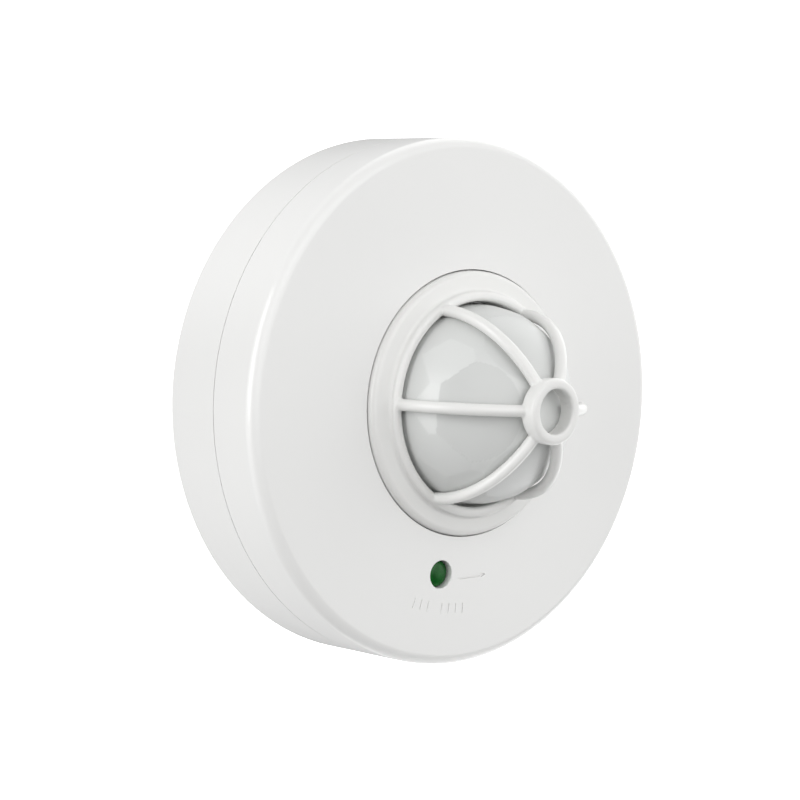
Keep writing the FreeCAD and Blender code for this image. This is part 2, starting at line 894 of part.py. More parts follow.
def lens_retainer_screws():
    screws = []
    for number in range(int(size("leg_count"))):
        across, up = polar("ear_rho", "ear_angle + %d * 360 / leg_count" % number)
        place = (across, up, "recess_back - lens_flange - retainer_thick")
        length = "retainer_thick + lens_flange + lens_screw_past"
        screws.append(screw(
            "ear_screw_%d" % number, place, "small_screw_r", length, "small_head_r", facing=-1,
        ))
    keep(joined("retainer_screws", screws), "lens_retainer_screws")


def main_board():
    body = new_body("main_board")
    raised(body, "disc", [("0", "0", "board_r")], "board_back", "board_front")
    hole_x, hole_y = polar("board_screw_rho", "board_screw_angle")
    hole = sunk(body, "screw_hole", [(hole_x, hole_y, "clearance_r")], "board_back", "board_front")
    repeated(body, "screw_holes", [hole], "leg_count")


def board_screws():
    screws = []
    for number in range(int(size("leg_count"))):
        across, up = polar("board_screw_rho", "board_screw_angle + %d * 360 / leg_count" % number)
        place = (across, up, "board_back")
        screws.append(screw(
            "board_screw_%d" % number, place, "screw_r", "board_pilot_top - board_back - 2 * screw_end_gap",
            "head_r", facing=-1,
        ))
    keep(joined("board_screw_group", screws), "board_screws")


PYRO_PINS = 3


def pyro_sensor():
    """The infrared detector: a metal can with a flat filter window, on three pins."""
    can = new_body("pyro_sensor_can")
    section = [
        ("0", "can_back"),
        ("can_flange_r", "can_back"),
        ("can_flange_r", "can_back + can_flange"),
        ("can_r", "can_back + can_flange"),
        ("can_r", "can_top"),
        ("0", "can_top"),
    ]
    turned(can, "can", [section])
    opening = rectangle("-window_half_x", "window_half_x", "-window_half_y", "window_half_y")
    sunk(can, "window_opening", [opening], "can_top - can_wall", "can_top")
    window = new_body("pyro_window")
    raised(window, "pane", [opening], "can_top - can_wall", "can_top - pane_below")
    pins = []
    for number in range(PYRO_PINS):
        across, up = polar("pin_rho", "first_pin_angle + pin_step * %d" % number)
        pins.append(rod("pin_%d" % number, (across, up, "board_front"), "pin_r", "can_back - board_front"))
    keep(joined("pins", pins), "pyro_pins")


def indicator_led():
    across, up = polar("led_rho", "led_angle")
    flange = rod("led_rim", (across, up, "led_back"), "led_flange_r", "led_flange")
    barrel = rod("led_barrel", (across, up, "led_back"), "led_r", "led_tip - led_r - led_back")
    tip = primitive(
        "Part::Sphere", "led_dome", (across, up, "led_tip - led_r"),
        Radius="led_r", Angle1="0", Angle2="90",
    )
    keep(joined("led", [flange, barrel, tip]), "indicator_led")
    legs = []
    for side in ("-", "+"):
        place = ("%s %s led_leg_x" % (across, side), up, "board_front")
        legs.append(rod("led_leg", place, "lead_r", "led_back - board_front"))
    keep(joined("led_leg_pair", legs), "led_legs")


def photocell():
    disc = rod("cell_disc", ("cell_x", "cell_y", "board_front"), "cell_r", "cell_height")
    keep(disc, "photocell")


CHIP_LEG_PAIRS = 7


def controller_ic():
    chip = block(
        "chip", "chip_x - chip_half_x", "chip_x + chip_half_x",
        "chip_y - chip_half_y", "chip_y + chip_half_y", "board_front + chip_leg", "chip_top",
    )
    legs = []
    for number in range(CHIP_LEG_PAIRS):
        centre = "chip_x + chip_pitch * %d" % (number - CHIP_LEG_PAIRS // 2)
        legs.append(block(
            "chip_leg_%d" % number, centre + " - chip_leg / 2", centre + " + chip_leg / 2",
            "chip_y - chip_half_y - chip_leg_reach", "chip_y + chip_half_y + chip_leg_reach",
            "board_front", "board_front + chip_leg_top",
        ))
    keep(joined("chip_group", [chip] + legs), "controller_ic")


def relay():
    """A small sealed relay: case, coil on its core, angled yoke and a hinged armature."""
    left = "relay_x - relay_half_x"
    right = "relay_x + relay_half_x"
    low = "relay_y - relay_half_y"
    high = "relay_y + relay_half_y"
    outer = block("relay_outer", left, right, low, high, "relay_back", "board_back")
    inner = block(
        "relay_inner", left + " + relay_wall", right + " - relay_wall",
        low + " + relay_wall", high + " - relay_wall", "relay_back + relay_wall", "board_back",
    )
    keep(carved("relay_box", outer, [inner]), "relay_case")

    length = "(coil_right - coil_left)"
    start = ("relay_x + coil_left", "relay_y", "coil_z")
    winding = rod("coil_winding", start, "coil_r", length, "right")
    near_cheek = rod("coil_near_cheek", start, "cheek_r", "cheek", "right")
    far = ("relay_x + coil_right - cheek", "relay_y", "coil_z")
    far_cheek = rod("coil_far_cheek", far, "cheek_r", "cheek", "right")
    keep(joined("coil", [winding, near_cheek, far_cheek]), "relay_coil")

    yoke_left = "relay_x + coil_left - yoke_thick"
    upright = block(
        "yoke_upright", yoke_left, "relay_x + coil_left",
        "relay_y - yoke_half_width", "relay_y + yoke_half_width",
        "coil_z - coil_r", "yoke_back + yoke_thick",
    )
    level = block(
        "yoke_level", yoke_left, "relay_x + coil_right + armature_gap + armature_thick",
        "relay_y - yoke_half_width", "relay_y + yoke_half_width",
        "yoke_back", "yoke_back + yoke_thick",
    )
    keep(joined("yoke", [upright, level]), "relay_yoke")

    face = "relay_x + coil_right + armature_gap"
    plate = block(
        "armature_plate", face, face + " + armature_thick",
        "relay_y - yoke_half_width", "relay_y + yoke_half_width", "armature_back", "armature_top",
    )
    keep(plate, "relay_armature")


def electrolytic_capacitors():
    cans = []
    for side in ("-", ""):
        place = (side + "capacitor_x", "capacitor_y", "capacitor_back")
        cans.append(rod("capacitor_can", place, "capacitor_r", "board_back - capacitor_back"))
    keep(joined("capacitor_pair", cans), "electrolytic_capacitors")


def film_capacitor():
    case = block(
        "film_case", "-film_half_x", "film_half_x",
        "film_y - film_half_y", "film_y + film_half_y", "film_back", "board_back",
    )
    keep(case, "film_capacitor")


def varistor():
    place = ("varistor_x", "varistor_y - varistor_thick / 2", "varistor_z")
    disc = rod("varistor_disc", place, "varistor_r", "varistor_thick", "up")
    legs = []
    for side in ("-", "+"):
        start = ("varistor_x %s varistor_leg_x" % side, "varistor_y", "varistor_z")
        legs.append(rod("varistor_leg", start, "lead_r", "board_back - varistor_z"))
    keep(joined("varistor_group", [disc] + legs), "varistor")


def leaded_tube(name, place, radius, length, leg_back, leg_length):
    """A small round part lying along x, with a lead to the board at each end."""
    across, up, height = place
    tube = rod(name + "_tube", place, radius, length, "right")
    wire_start = ("(%s) - lead_over" % across, up, height)
    wire = rod(name + "_wire", wire_start, "lead_r", "(%s) + 2 * lead_over" % length, "right")
    near = "(%s) - lead_over + lead_r" % across
    far = "(%s) + (%s) + lead_over - lead_r" % (across, length)
    legs = [rod(name + "_leg", (end, up, leg_back), "lead_r", leg_length) for end in (near, far)]
    return [tube, wire] + legs


def fuse():
    place = ("fuse_x", "fuse_y", "fuse_z")
    pieces = leaded_tube("fuse", place, "fuse_r", "fuse_length", "fuse_z", "board_back - fuse_z")
    keep(joined("fuse_group", pieces), "fuse")


RESISTORS = 5


def resistors():
    rows = []
    for number in range(RESISTORS):
        name = "resistor_%d" % number
        place = ("resistor_x", "resistor_y + resistor_pitch * %d" % number, "resistor_z")
        pieces = leaded_tube(
            name, place, "resistor_r", "resistor_length", "board_front", "resistor_z - board_front",
        )
        rows.append(joined(name, pieces))
    keep(joined("resistor_group", rows), "resistors")


def rectifier():
    case = block(
        "rectifier_case", "rectifier_x - rectifier_half_x", "rectifier_x + rectifier_half_x",
        "rectifier_y - rectifier_half_y", "rectifier_y + rectifier_half_y",
        "board_back - rectifier_thick", "board_back",
    )
    keep(case, "rectifier")


def flat_can(label, across, up):
    """A small three-legged transistor case: a round with one flat side."""
    back = "board_back - case_length - case_leg"
    can = rod(label + "_round", (across, up, back), "case_r", "case_length")
    off = block(
        label + "_flat", across + " - case_r", across + " + case_r",
        up + " + case_flat", up + " + case_r", back, "board_back",
    )
    legs = []
    for step in (-1, 0, 1):
        place = ("%s + %d * case_leg_pitch" % (across, step), up, back + " + case_length")
        legs.append(rod(label + "_leg", place, "case_leg_r", "case_leg"))
    keep(joined(label, [carved(label + "_case", can, [off])] + legs), label)


def blade_holder():
    body = new_body("blade_holder")
    arc_block(
        body, "strip", "contact_r - holder_half", "contact_r + holder_half",
        "holder_back", "board_back", "270", "holder_span",
    )


def contact_blades():
    body = new_body("contact_blades")
    for number, centre in enumerate(CONTACTS, start=1):
        arc_block(
            body, "blade_%d" % number, "contact_r - blade_half", "contact_r + blade_half",
            "blade_back", "holder_back", centre, "contact_span",
        )


def trimmer_housings():
    for word, angle in TRIMMERS.items():
        across, up = polar("trimmer_rho", angle)
        housing = primitive(
            "Part::Box", word + "_box",
            (
                "%s - trimmer_half * cos(%s) + trimmer_half * sin(%s)" % (across, angle, angle),
                "%s - trimmer_half * sin(%s) - trimmer_half * cos(%s)" % (up, angle, angle),
                "board_front",
            ),
            turn=size(angle),
            Length="2 * trimmer_half", Width="2 * trimmer_half", Height="trimmer_top - board_front",
        )
        bore_start = (across, up, "stem_back - trimmer_bore_past")
        bore = rod(word + "_bore", bore_start, "trimmer_bore_r", "trimmer_top - board_front")
        keep(carved(word + "_housing", housing, [bore]), word + "_trimmer_housing")


# ---- Pieces that turn on the head --------------------------------------------------------------------

def trimmer_knobs():
    """Arrow-slotted rotors, each on a stem that turns in its housing."""
    for word, angle in TRIMMERS.items():
        across, up = polar("trimmer_rho", angle)
        cap = rod(word + "_cap", (across, up, "knob_back"), "knob_r", "knob_top - knob_back")
        stem = rod(word + "_stem", (across, up, "stem_back"), "stem_r", "knob_back - stem_back")
        slot = block(
            word + "_slot", across + " - recess_half", across + " + recess_half",
            up + " - arrow_tail", up + " + arrow_nose", "knob_top - recess_depth", "knob_top",
        )
        bar = block(
            word + "_bar", across + " - arrow_bar_half", across + " + arrow_bar_half",
            up + " + arrow_bar_low", up + " + arrow_bar_high", "knob_top - recess_depth", "knob_top",
        )
        keep(carved(word + "_rotor", joined(word + "_blank", [cap, stem]), [slot, bar]), word + "_knob")


def collar_ring():
    """The raised bezel round the guard, with three lugs that lock behind the recess floor."""
    body = new_body("collar_ring")
    inner = "ring_outer_r + ring_gap"
    foot_front = "collar_back + ring_foot"
    section = [
        ("ring_foot_r", "collar_back"),
        ("collar_r", "collar_back"),
        ("collar_r", "depth"),
        ("collar_top_r", "collar_top"),
        (inner, "collar_top"),
        (inner, foot_front),
        ("ring_foot_r", foot_front),
    ]
    ring = turned(body, "ring", [section])
    rounded(body, "top_edge", ring, [("collar_top_r", "collar_top")], "collar_round")
    leg = arc_block(
        body, "lug_leg", "lug_inner_r", "lug_outer_r", "lug_back", "collar_back", "lug_angle", "lug_span",
    )
    foot = arc_block(
        body, "lug_foot", "lug_inner_r", "lug_foot_r", "lug_back", "lug_back + lug_foot",
        "lug_angle", "lug_span",
    )
    repeated(body, "lugs", [leg, foot], "leg_count")


def guard_ring():
    body = doc.addObject("PartDesign::Body", "guard_ring")
    body.Placement = FreeCAD.Placement(VECTOR(), OUTWARD)
    foot_front = "collar_back + ring_foot"
    section = [
        ("ring_inner_r", "collar_back"),
        ("ring_foot_r", "collar_back"),
        ("ring_foot_r", foot_front),
        ("ring_outer_r", foot_front),
        ("ring_outer_r", "ring_top"),
        ("ring_inner_r", "ring_top"),
    ]
    ring = turned(body, "ring", [section])
    rims = [("ring_outer_r", "ring_top"), ("ring_inner_r", "ring_top")]
    rounded(body, "ring_top_edges", ring, rims, "ring_round")
    return body


def guard_hub():
    body = doc.addObject("PartDesign::Body", "guard_hub")
    body.Placement = FreeCAD.Placement(VECTOR(), OUTWARD)
    hub = turned(body, "hub", [rectangle("hub_bore_r", "hub_outer_r", "hub_back", "hub_front")])
    rims = [("hub_outer_r", "hub_front"), ("hub_bore_r", "hub_front"), ("hub_outer_r", "hub_back")]
    rounded(body, "hub_edges", hub, rims, "hub_round")
    return body


def guard_rib(number):
    """A round bar along a quarter ellipse, from the ring to the hub."""
    angle = size("rib_angle") + number * 360 / size("rib_count")
    upright = OUTWARD.multiply(FreeCAD.Rotation(Z_AXIS, angle)).multiply(FreeCAD.Rotation(X_AXIS, 90))
    path = doc.addObject("Part::Ellipse", "rib_path_%d" % number)
    path.Placement = FreeCAD.Placement(VECTOR(0, -size("rib_base"), 0), upright)
    path.setExpression("MajorRadius", bound("rib_reach"))
    path.setExpression("MinorRadius", bound("rib_rise"))
    path.Angle1 = 0
    hub_middle = (size("hub_outer_r") + size("hub_bore_r")) / 2
    path.Angle2 = math.degrees(math.acos(hub_middle / size("rib_reach")))
    flat = OUTWARD.multiply(FreeCAD.Rotation(Z_AXIS, angle))
    section = doc.addObject("Part::Circle", "rib_section_%d" % number)
    section.Placement = FreeCAD.Placement(flat.multVec(VECTOR(size("rib_reach"), 0, size("rib_base"))), flat)
    section.setExpression("Radius", bound("rib_r"))
    rib = doc.addObject("Part::Sweep", "rib_%d" % number)
    rib.Sections = [section]
    rib.Spine = (path, ["Edge1"])
    rib.Solid = True
    return rib


def guard_cage():
    ribs = [guard_rib(number) for number in range(int(size("rib_count")))]
    keep(joined("cage", [guard_ring(), guard_hub()] + ribs), "guard_cage")


# ---- Build, check and write --------------------------------------------------------------------------

def build():
    base_shell()
    cable_grommet()
    terminal_block_body()
    terminal_clamps()
    terminal_screws()
    terminal_block_screws()
    cable_clamp()
    cable_clamp_screws()
    contact_springs()
    front_cover()
    lens_dome()
    lens_retainer()
    lens_retainer_screws()
    main_board()
    board_screws()
    pyro_sensor()
    indicator_led()
    photocell()
    controller_ic()
    relay()
    electrolytic_capacitors()
    film_capacitor()
    varistor()
    fuse()
    rectifier()
    flat_can("voltage_regulator", "regulator_x", "regulator_y")
    flat_can("drive_transistor", "transistor_x", "transistor_y")
    resistors()
    blade_holder()
    contact_blades()
    trimmer_housings()
    trimmer_knobs()
    collar_ring()
    guard_cage()
    doc.recompute()


def check():
    for item in doc.Objects:
        if "Invalid" in item.State or "Error" in item.State:
            raise RuntimeError("%s did not compute: %s" % (item.Name, item.State))
    for item in subparts:
        if item.Shape.isNull() or not item.Shape.isValid() or not item.Shape.Solids:
            raise RuntimeError("%s has no valid shape" % item.Label)


def write():
    os.makedirs("parts", exist_ok=True)
    for item in subparts:
        item.Shape.exportStep("parts/%s.step" % item.Label)
        print("%-26s %d solid(s), %.1f mm3" % (item.Label, len(item.Shape.Solids), item.Shape.Volume))


build()
check()
write()
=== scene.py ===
import json
import math

import bmesh
import bpy
import numpy as np
from mathutils import Matrix, Vector


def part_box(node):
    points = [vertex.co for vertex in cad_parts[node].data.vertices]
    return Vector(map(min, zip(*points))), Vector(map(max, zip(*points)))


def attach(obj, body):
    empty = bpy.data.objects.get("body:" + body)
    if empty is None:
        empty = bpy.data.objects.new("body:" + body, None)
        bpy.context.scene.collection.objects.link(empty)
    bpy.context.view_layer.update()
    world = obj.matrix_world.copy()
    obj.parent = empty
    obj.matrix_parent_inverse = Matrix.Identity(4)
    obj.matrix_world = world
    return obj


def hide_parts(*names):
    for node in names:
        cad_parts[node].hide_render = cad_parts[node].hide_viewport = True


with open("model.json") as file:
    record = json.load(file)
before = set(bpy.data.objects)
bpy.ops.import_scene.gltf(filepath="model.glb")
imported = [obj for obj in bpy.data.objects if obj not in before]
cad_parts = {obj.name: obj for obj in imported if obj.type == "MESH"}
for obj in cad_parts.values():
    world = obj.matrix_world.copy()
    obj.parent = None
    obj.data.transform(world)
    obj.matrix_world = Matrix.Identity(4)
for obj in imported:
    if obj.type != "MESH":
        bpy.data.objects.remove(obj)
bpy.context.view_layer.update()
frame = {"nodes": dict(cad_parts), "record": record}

# Looks for a round motion sensor: white satin mouldings, a milky faceted lens inside a guard cage, a
# green indicator, and the board, relay and terminals inside.
#
# Lengths below are millimetres in the sensor's own directions: x to the right, up, and out of the wall.
# The frame has x to the right, -Y out of the wall and +Z up. Angles are counter-clockwise from the
# right, seen from the front. What the CAD boxes give is read from them.

MM = 0.001
ROUND = 288


def reach(node):
    """A node's greatest x and its back and front heights, in mm."""
    low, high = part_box(node)
    return high.x / MM, -high.y / MM, -low.y / MM


BACK_R, _, PARTING = reach("base_shell")
_, FOOT_BACK, DEPTH = reach("front_cover")
COLLAR_R, LUG_BACK, COLLAR_TOP = reach("collar_ring")
RING_FOOT_R, COLLAR_BACK, HUB_FRONT = reach("guard_cage")
LENS_FLANGE_R, LENS_BACK, LENS_TIP = reach("lens_dome")

# Joining: how far joined pieces run into each other, and how far a cutter runs past a face
OVERLAP = 0.5
PAST = 1.0

# Indicator
LED_LOW, LED_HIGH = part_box("indicator_led")
LED_X = (LED_LOW.x + LED_HIGH.x) / 2 / MM
LED_UP = (LED_LOW.z + LED_HIGH.z) / 2 / MM
LED_FLANGE_R = (LED_HIGH.x - LED_LOW.x) / 2 / MM
LED_BACK = -LED_HIGH.y / MM
LED_TIP = -LED_LOW.y / MM
LED_R = 2.88
LED_RIM = 1.0
LED_RIM_EDGE = 0.1
LED_DOME = 0.9
LED_DOME_TURN = 88.0  # degrees: the dome ends in a tiny flat
LED_SHIFT = (0.4, 1.3, 0.5)  # how much of the record's red, green and blue the resin shows

# Housing
FRONT_R = 57.2
WALL = 2.0
FACE = 2.2
EDGE_ROUND = 2.5
SEAM = 0.1
SEAM_STEP = 0.12
SEAM_LAND = 0.9
RECESS_R = 29.12
RECESS_WALL_R = 31.0
RECESS_FLOOR = 24.4
RECESS_BACK = 22.9
LENS_HOLE_R = 22.0
LEG = (52.6, 54.2)  # inner and outer radius
FOOT = (52.6, 55.8, 1.8)  # inner and outer radius, height
FOOT_SPAN = 12.0
BOARD_FRONT = 17.8
BOSS_RHO = 46.0
BOSS_ANGLE = 60.0
BOSS_R = 3.4
PILOT_R = 1.45
PILOT_TOP = 22.6
LENS_BOSS_RHO = 26.2
LENS_BOSS_ANGLE = 40.0
LENS_BOSS_R = 2.1
LENS_PILOT_R = 0.95
LENS_PILOT = 0.9
INDICATOR_HOLE_R = 3.05
INDICATOR_LEAD_IN = 0.1
INDICATOR_TUBE_R = 4.3
INDICATOR_TUBE = 3.6
SLOT = (25.3, 25.8, 27.4, 28.6)  # inner radii of the slot and its wide end, then their outer radii
LUG_ANGLE = 58.0
GUARD_TWIST = 20.0
LUG_SPAN = 10.0
SLOT_MARGIN = 1.5
TRIMMER_RHO = 26.1
TRIMMER_ANGLES = (98.0, 120.0, 142.0)
WINDOW_R = 2.3

# Marks on the face
ARROW_DEPTH = 0.35
TICK_DEPTH = 0.12
ARROW_RHO = 38.3
ARROW_HALF_WIDTH = 0.17
ARROW_CENTRE = 269.1
ARROW_SPAN = 10.0
ARROW_HEAD = (1.4, 0.55)  # length and half width
TICK_RHO = (43.7, 45.9)
TICK_FIRST = 248.2
TICK_PITCH = 2.6
TICK_SPAN = 0.4
TICK_PLACES = (0, 1, 2, 4, 5, 6, 7)

# Guard
RING = (22.3, 24.5, 30.4)  # inner and outer radius, front
RING_ROUND = 0.9
RING_FOOT = 1.0
COLLAR_GAP = 0.2
COLLAR_TOP_R = 28.5
COLLAR_ROUND = 1.5
COLLAR_SLOPE = 0.35
FILLET = 0.7  # the collar's lip, which hides its seam with the ring
FILLET_GAP = 0.02
FILLET_SINK = 0.15
HUB = (4.65, 6.9, 48.9)  # inner and outer radius, back
HUB_ROUND = 0.9
RIB_COUNT = 6
RIB_ANGLE = -3.15
RIB_R = 1.28
RIB_REACH = 22.9
RIB_RISE = 21.1
RIB_BASE = 29.2
SKIN_VOXEL = 0.22
SKIN_SMOOTHING = (0.5, 5)  # factor and rounds
LUG = (25.8, 27.0, 28.2, 1.3)  # inner radius, outer radii of neck and foot, the foot's height

# Lens
LENS_R = 21.6
LENS_RISE = 19.3
LENS_CENTRE = LENS_TIP - LENS_RISE
LENS_FLANGE = 1.2
LENS_SKIN = 1.0
LENS_CREASE = 40.0
FACET_DEPTH = 0.3  # how far each facet is pulled from the dome to its plane, from 0 to 1
FACET_FADE = 10.0  # degrees above the rim over which the facets set in
FACET_REACH = 0.05  # the least cosine between a facet's middle and what its plane can cut
FACET_RINGS = (
    # (polar angle, first angle, how deep its planes lie, a painted shade from 0 to 1 for each facet,
    # standing in for the light and reflection that facet catches)
    (43.0, 180.0, 0.88, (0.0, 0.35, 0.4, 0.45)),
    (68.0, 178.0, 0.945, (0.9, 0.4, 0.35, 0.35, 0.4, 0.45, 0.35, 0.25, 0.25, 0.4, 0.6, 0.9)),
    (84.0, 193.0, 0.95, (0.4, 0.3, 0.25, 0.3, 0.4, 0.5, 0.4, 0.3, 0.3, 0.4, 0.6, 0.6)),
)
# The painted shade of the dome's top, its flange and its inside.
POLE_PAINTED_SHADE = 0.6
GROOVE_PITCH = 0.45
LENS_LIFT = 1.06

# Board: the size of an area whose tracks run one way, the tracks, and the spacing of pads
TRACK_AREA = 13.0
TRACK_PITCH = 1.7
TRACK_WIDTH = 0.5
PAD_PITCH = 4.6

# Camera: where it stands round the sensor, and the lens that frames it
CAMERA_AZIMUTH = -39.43
CAMERA_ELEVATION = 4.79
CAMERA_DISTANCE = 329.7
CAMERA_RIGHT = 1.40
CAMERA_UP = -0.94
CAMERA_LENS = 63.87


# ---- Mesh building ----------------------------------------------------------------------------------

def placed(points):
    """Points of (x, up, out) in mm as frame positions in metres."""
    return [(across * MM, -out * MM, up * MM) for across, up, out in points]


def new_object(name, points, faces):
    """An object from points of (x, up, out) in mm, with its faces turned outwards."""
    mesh = bpy.data.meshes.new(name)
    mesh.from_pydata(placed(points), [], faces)
    edit = bmesh.new()
    edit.from_mesh(mesh)
    bmesh.ops.recalc_face_normals(edit, faces=edit.faces)
    edit.to_mesh(mesh)
    edit.free()
    obj = bpy.data.objects.new(name, mesh)
    bpy.context.collection.objects.link(obj)
    return obj


def rounded(corners, steps=8):
    """An outline from corners of (radius, height, rounding)."""
    outline = []
    count = len(corners)
    for index, (across, height, rounding) in enumerate(corners):
        here = Vector((across, height))
        if not rounding:
            outline.append(tuple(here))
            continue
        back = (Vector(corners[index - 1][:2]) - here).normalized()
        on = (Vector(corners[(index + 1) % count][:2]) - here).normalized()
        half = back.angle(on) / 2
        centre = here + (back + on).normalized() * (rounding / math.sin(half))
        start = here + back * (rounding / math.tan(half)) - centre
        end = here + on * (rounding / math.tan(half)) - centre
        turn = start.angle(end)
        for step in range(steps + 1):
            share = step / steps
            point = start * math.sin((1 - share) * turn) + end * math.sin(share * turn)
            outline.append(tuple(centre + point / math.sin(turn)))
    return outline


def lathed(name, outline, around=ROUND):
    """A closed outline of (radius, height), turned about the sensor's axis."""
    points = []
    rows = []
    for across, height in outline:
        if across < 1e-6:
            rows.append([len(points)] * around)
            points.append((0.0, 0.0, height))
            continue
        rows.append(list(range(len(points), len(points) + around)))
        for step in range(around):
            angle = 2 * math.pi * step / around
            points.append((across * math.cos(angle), across * math.sin(angle), height))
    faces = []
    for index, row in enumerate(rows):
        following = rows[(index + 1) % len(rows)]
        for step in range(around):
            after = (step + 1) % around
            corners = [row[step], row[after], following[after], following[step]]
            face = list(dict.fromkeys(corners))
            if len(face) > 2:
                faces.append(face)
    return new_object(name, points, faces)


def arc_block(inner, outer, back, front, centre, span, steps=24):
    """A block between two radii, two heights and two angles."""
    points = []
    for step in range(steps + 1):
        angle = math.radians(centre + span * (step / steps - 0.5))
        for across, height in ((inner, back), (outer, back), (outer, front), (inner, front)):
            points.append((across * math.cos(angle), across * math.sin(angle), height))
    faces = [[0, 1, 2, 3], [4 * steps + corner for corner in (3, 2, 1, 0)]]
    for step in range(steps):
        for side in range(4):
            low = 4 * step + side
            high = 4 * step + (side + 1) % 4
            faces.append([low, high, high + 4, low + 4])
    return new_object("arc_block", points, faces)


def disc_stack(across, up, rings, around=64):
    """A closed solid of circles about a line out of the wall: rings of (radius, height)."""
    points = []
    for radius, height in rings:
        for step in range(around):
            angle = 2 * math.pi * step / around
            points.append((across + radius * math.cos(angle), up + radius * math.sin(angle), height))
    faces = [list(range(around)), list(range(len(points) - around, len(points)))]
    for ring in range(len(rings) - 1):
        for step in range(around):
            low = ring * around + step
            after = ring * around + (step + 1) % around
            faces.append([low, after, after + around, low + around])
    return new_object("disc_stack", points, faces)


def prism(outline, back, front):
    """A flat outline of (x, up) raised between two heights."""
    count = len(outline)
    points = [(across, up, back) for across, up in outline]
    points += [(across, up, front) for across, up in outline]
    faces = [list(range(count)), list(range(count, 2 * count))]
    for index in range(count):
        after = (index + 1) % count
        faces.append([index, after, after + count, index + count])
    return new_object("prism", points, faces)


def swept(path, radius, around=24):
    """A round bar along points of (x, up, out)."""
    points = []
    side = None
    for index, here in enumerate(path):
        before = Vector(path[max(index - 1, 0)])
        after = Vector(path[min(index + 1, len(path) - 1)])
        along = (after - before).normalized()
        if side is None:
            side = along.orthogonal().normalized()
        side = (side - along * side.dot(along)).normalized()
        other = along.cross(side)
        for step in range(around):
            angle = 2 * math.pi * step / around
            spoke = side * math.cos(angle) + other * math.sin(angle)
            points.append(tuple(Vector(here) + spoke * radius))
    faces = [list(range(around)), list(range(len(points) - around, len(points)))]
    for ring in range(len(path) - 1):
        for step in range(around):
            low = ring * around + step
            after = ring * around + (step + 1) % around
            faces.append([low, after, after + around, low + around])
    return new_object("bar", points, faces)


def polar(rho, angle):
    """The (x, up) of a place at a radius and an angle in degrees."""
    return rho * math.cos(math.radians(angle)), rho * math.sin(math.radians(angle))


def thrice(make):
    """The same piece at three places round the axis; make takes the turn in degrees."""
    return [make(turn) for turn in (0, 120, 240)]


def settled(obj):
    """Makes the object's modifiers part of its mesh."""
    depsgraph = bpy.context.evaluated_depsgraph_get()
    mesh = bpy.data.meshes.new_from_object(obj.evaluated_get(depsgraph), depsgraph=depsgraph)
    obj.modifiers.clear()
    old = obj.data
    obj.data = mesh
    mesh.name = obj.name
    bpy.data.meshes.remove(old)
    return obj


def cut_or_join(obj, tools, operation):
    """Cuts the tools from the object or joins them to it, and removes them."""
    for tool in tools:
        modifier = obj.modifiers.new(operation, "BOOLEAN")
        modifier.operation = operation
        modifier.solver = "EXACT"
        modifier.object = tool
    settled(obj)
    for tool in tools:
        bpy.data.objects.remove(tool)
    return obj


def merged(name, pieces):
    """One object from several, overlaps and all."""
    edit = bmesh.new()
    for piece in pieces:
        edit.from_mesh(piece.data)
        bpy.data.objects.remove(piece)
    mesh = bpy.data.meshes.new(name)
    edit.to_mesh(mesh)
    edit.free()
    obj = bpy.data.objects.new(name, mesh)
    bpy.context.collection.objects.link(obj)
    return obj


def shaded(obj, crease=32.0):
    """Smooth shading with creases, and flats that stay flat beside a rounding."""
    obj.data.polygons.foreach_set("use_smooth", [True] * len(obj.data.polygons))
    obj.data.set_sharp_from_angle(angle=math.radians(crease))
    weighted = obj.modifiers.new("flats", "WEIGHTED_NORMAL")
    weighted.keep_sharp = True
    weighted.weight = 80
    return obj


def stands_for(obj, node, body, material):
    """Puts a piece in a CAD node's place, on its body and with its material."""
    obj.data.materials.clear()
    obj.data.materials.append(material)
    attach(obj, body)
    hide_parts(node)


# ---- Materials --------------------------------------------------------------------------------------

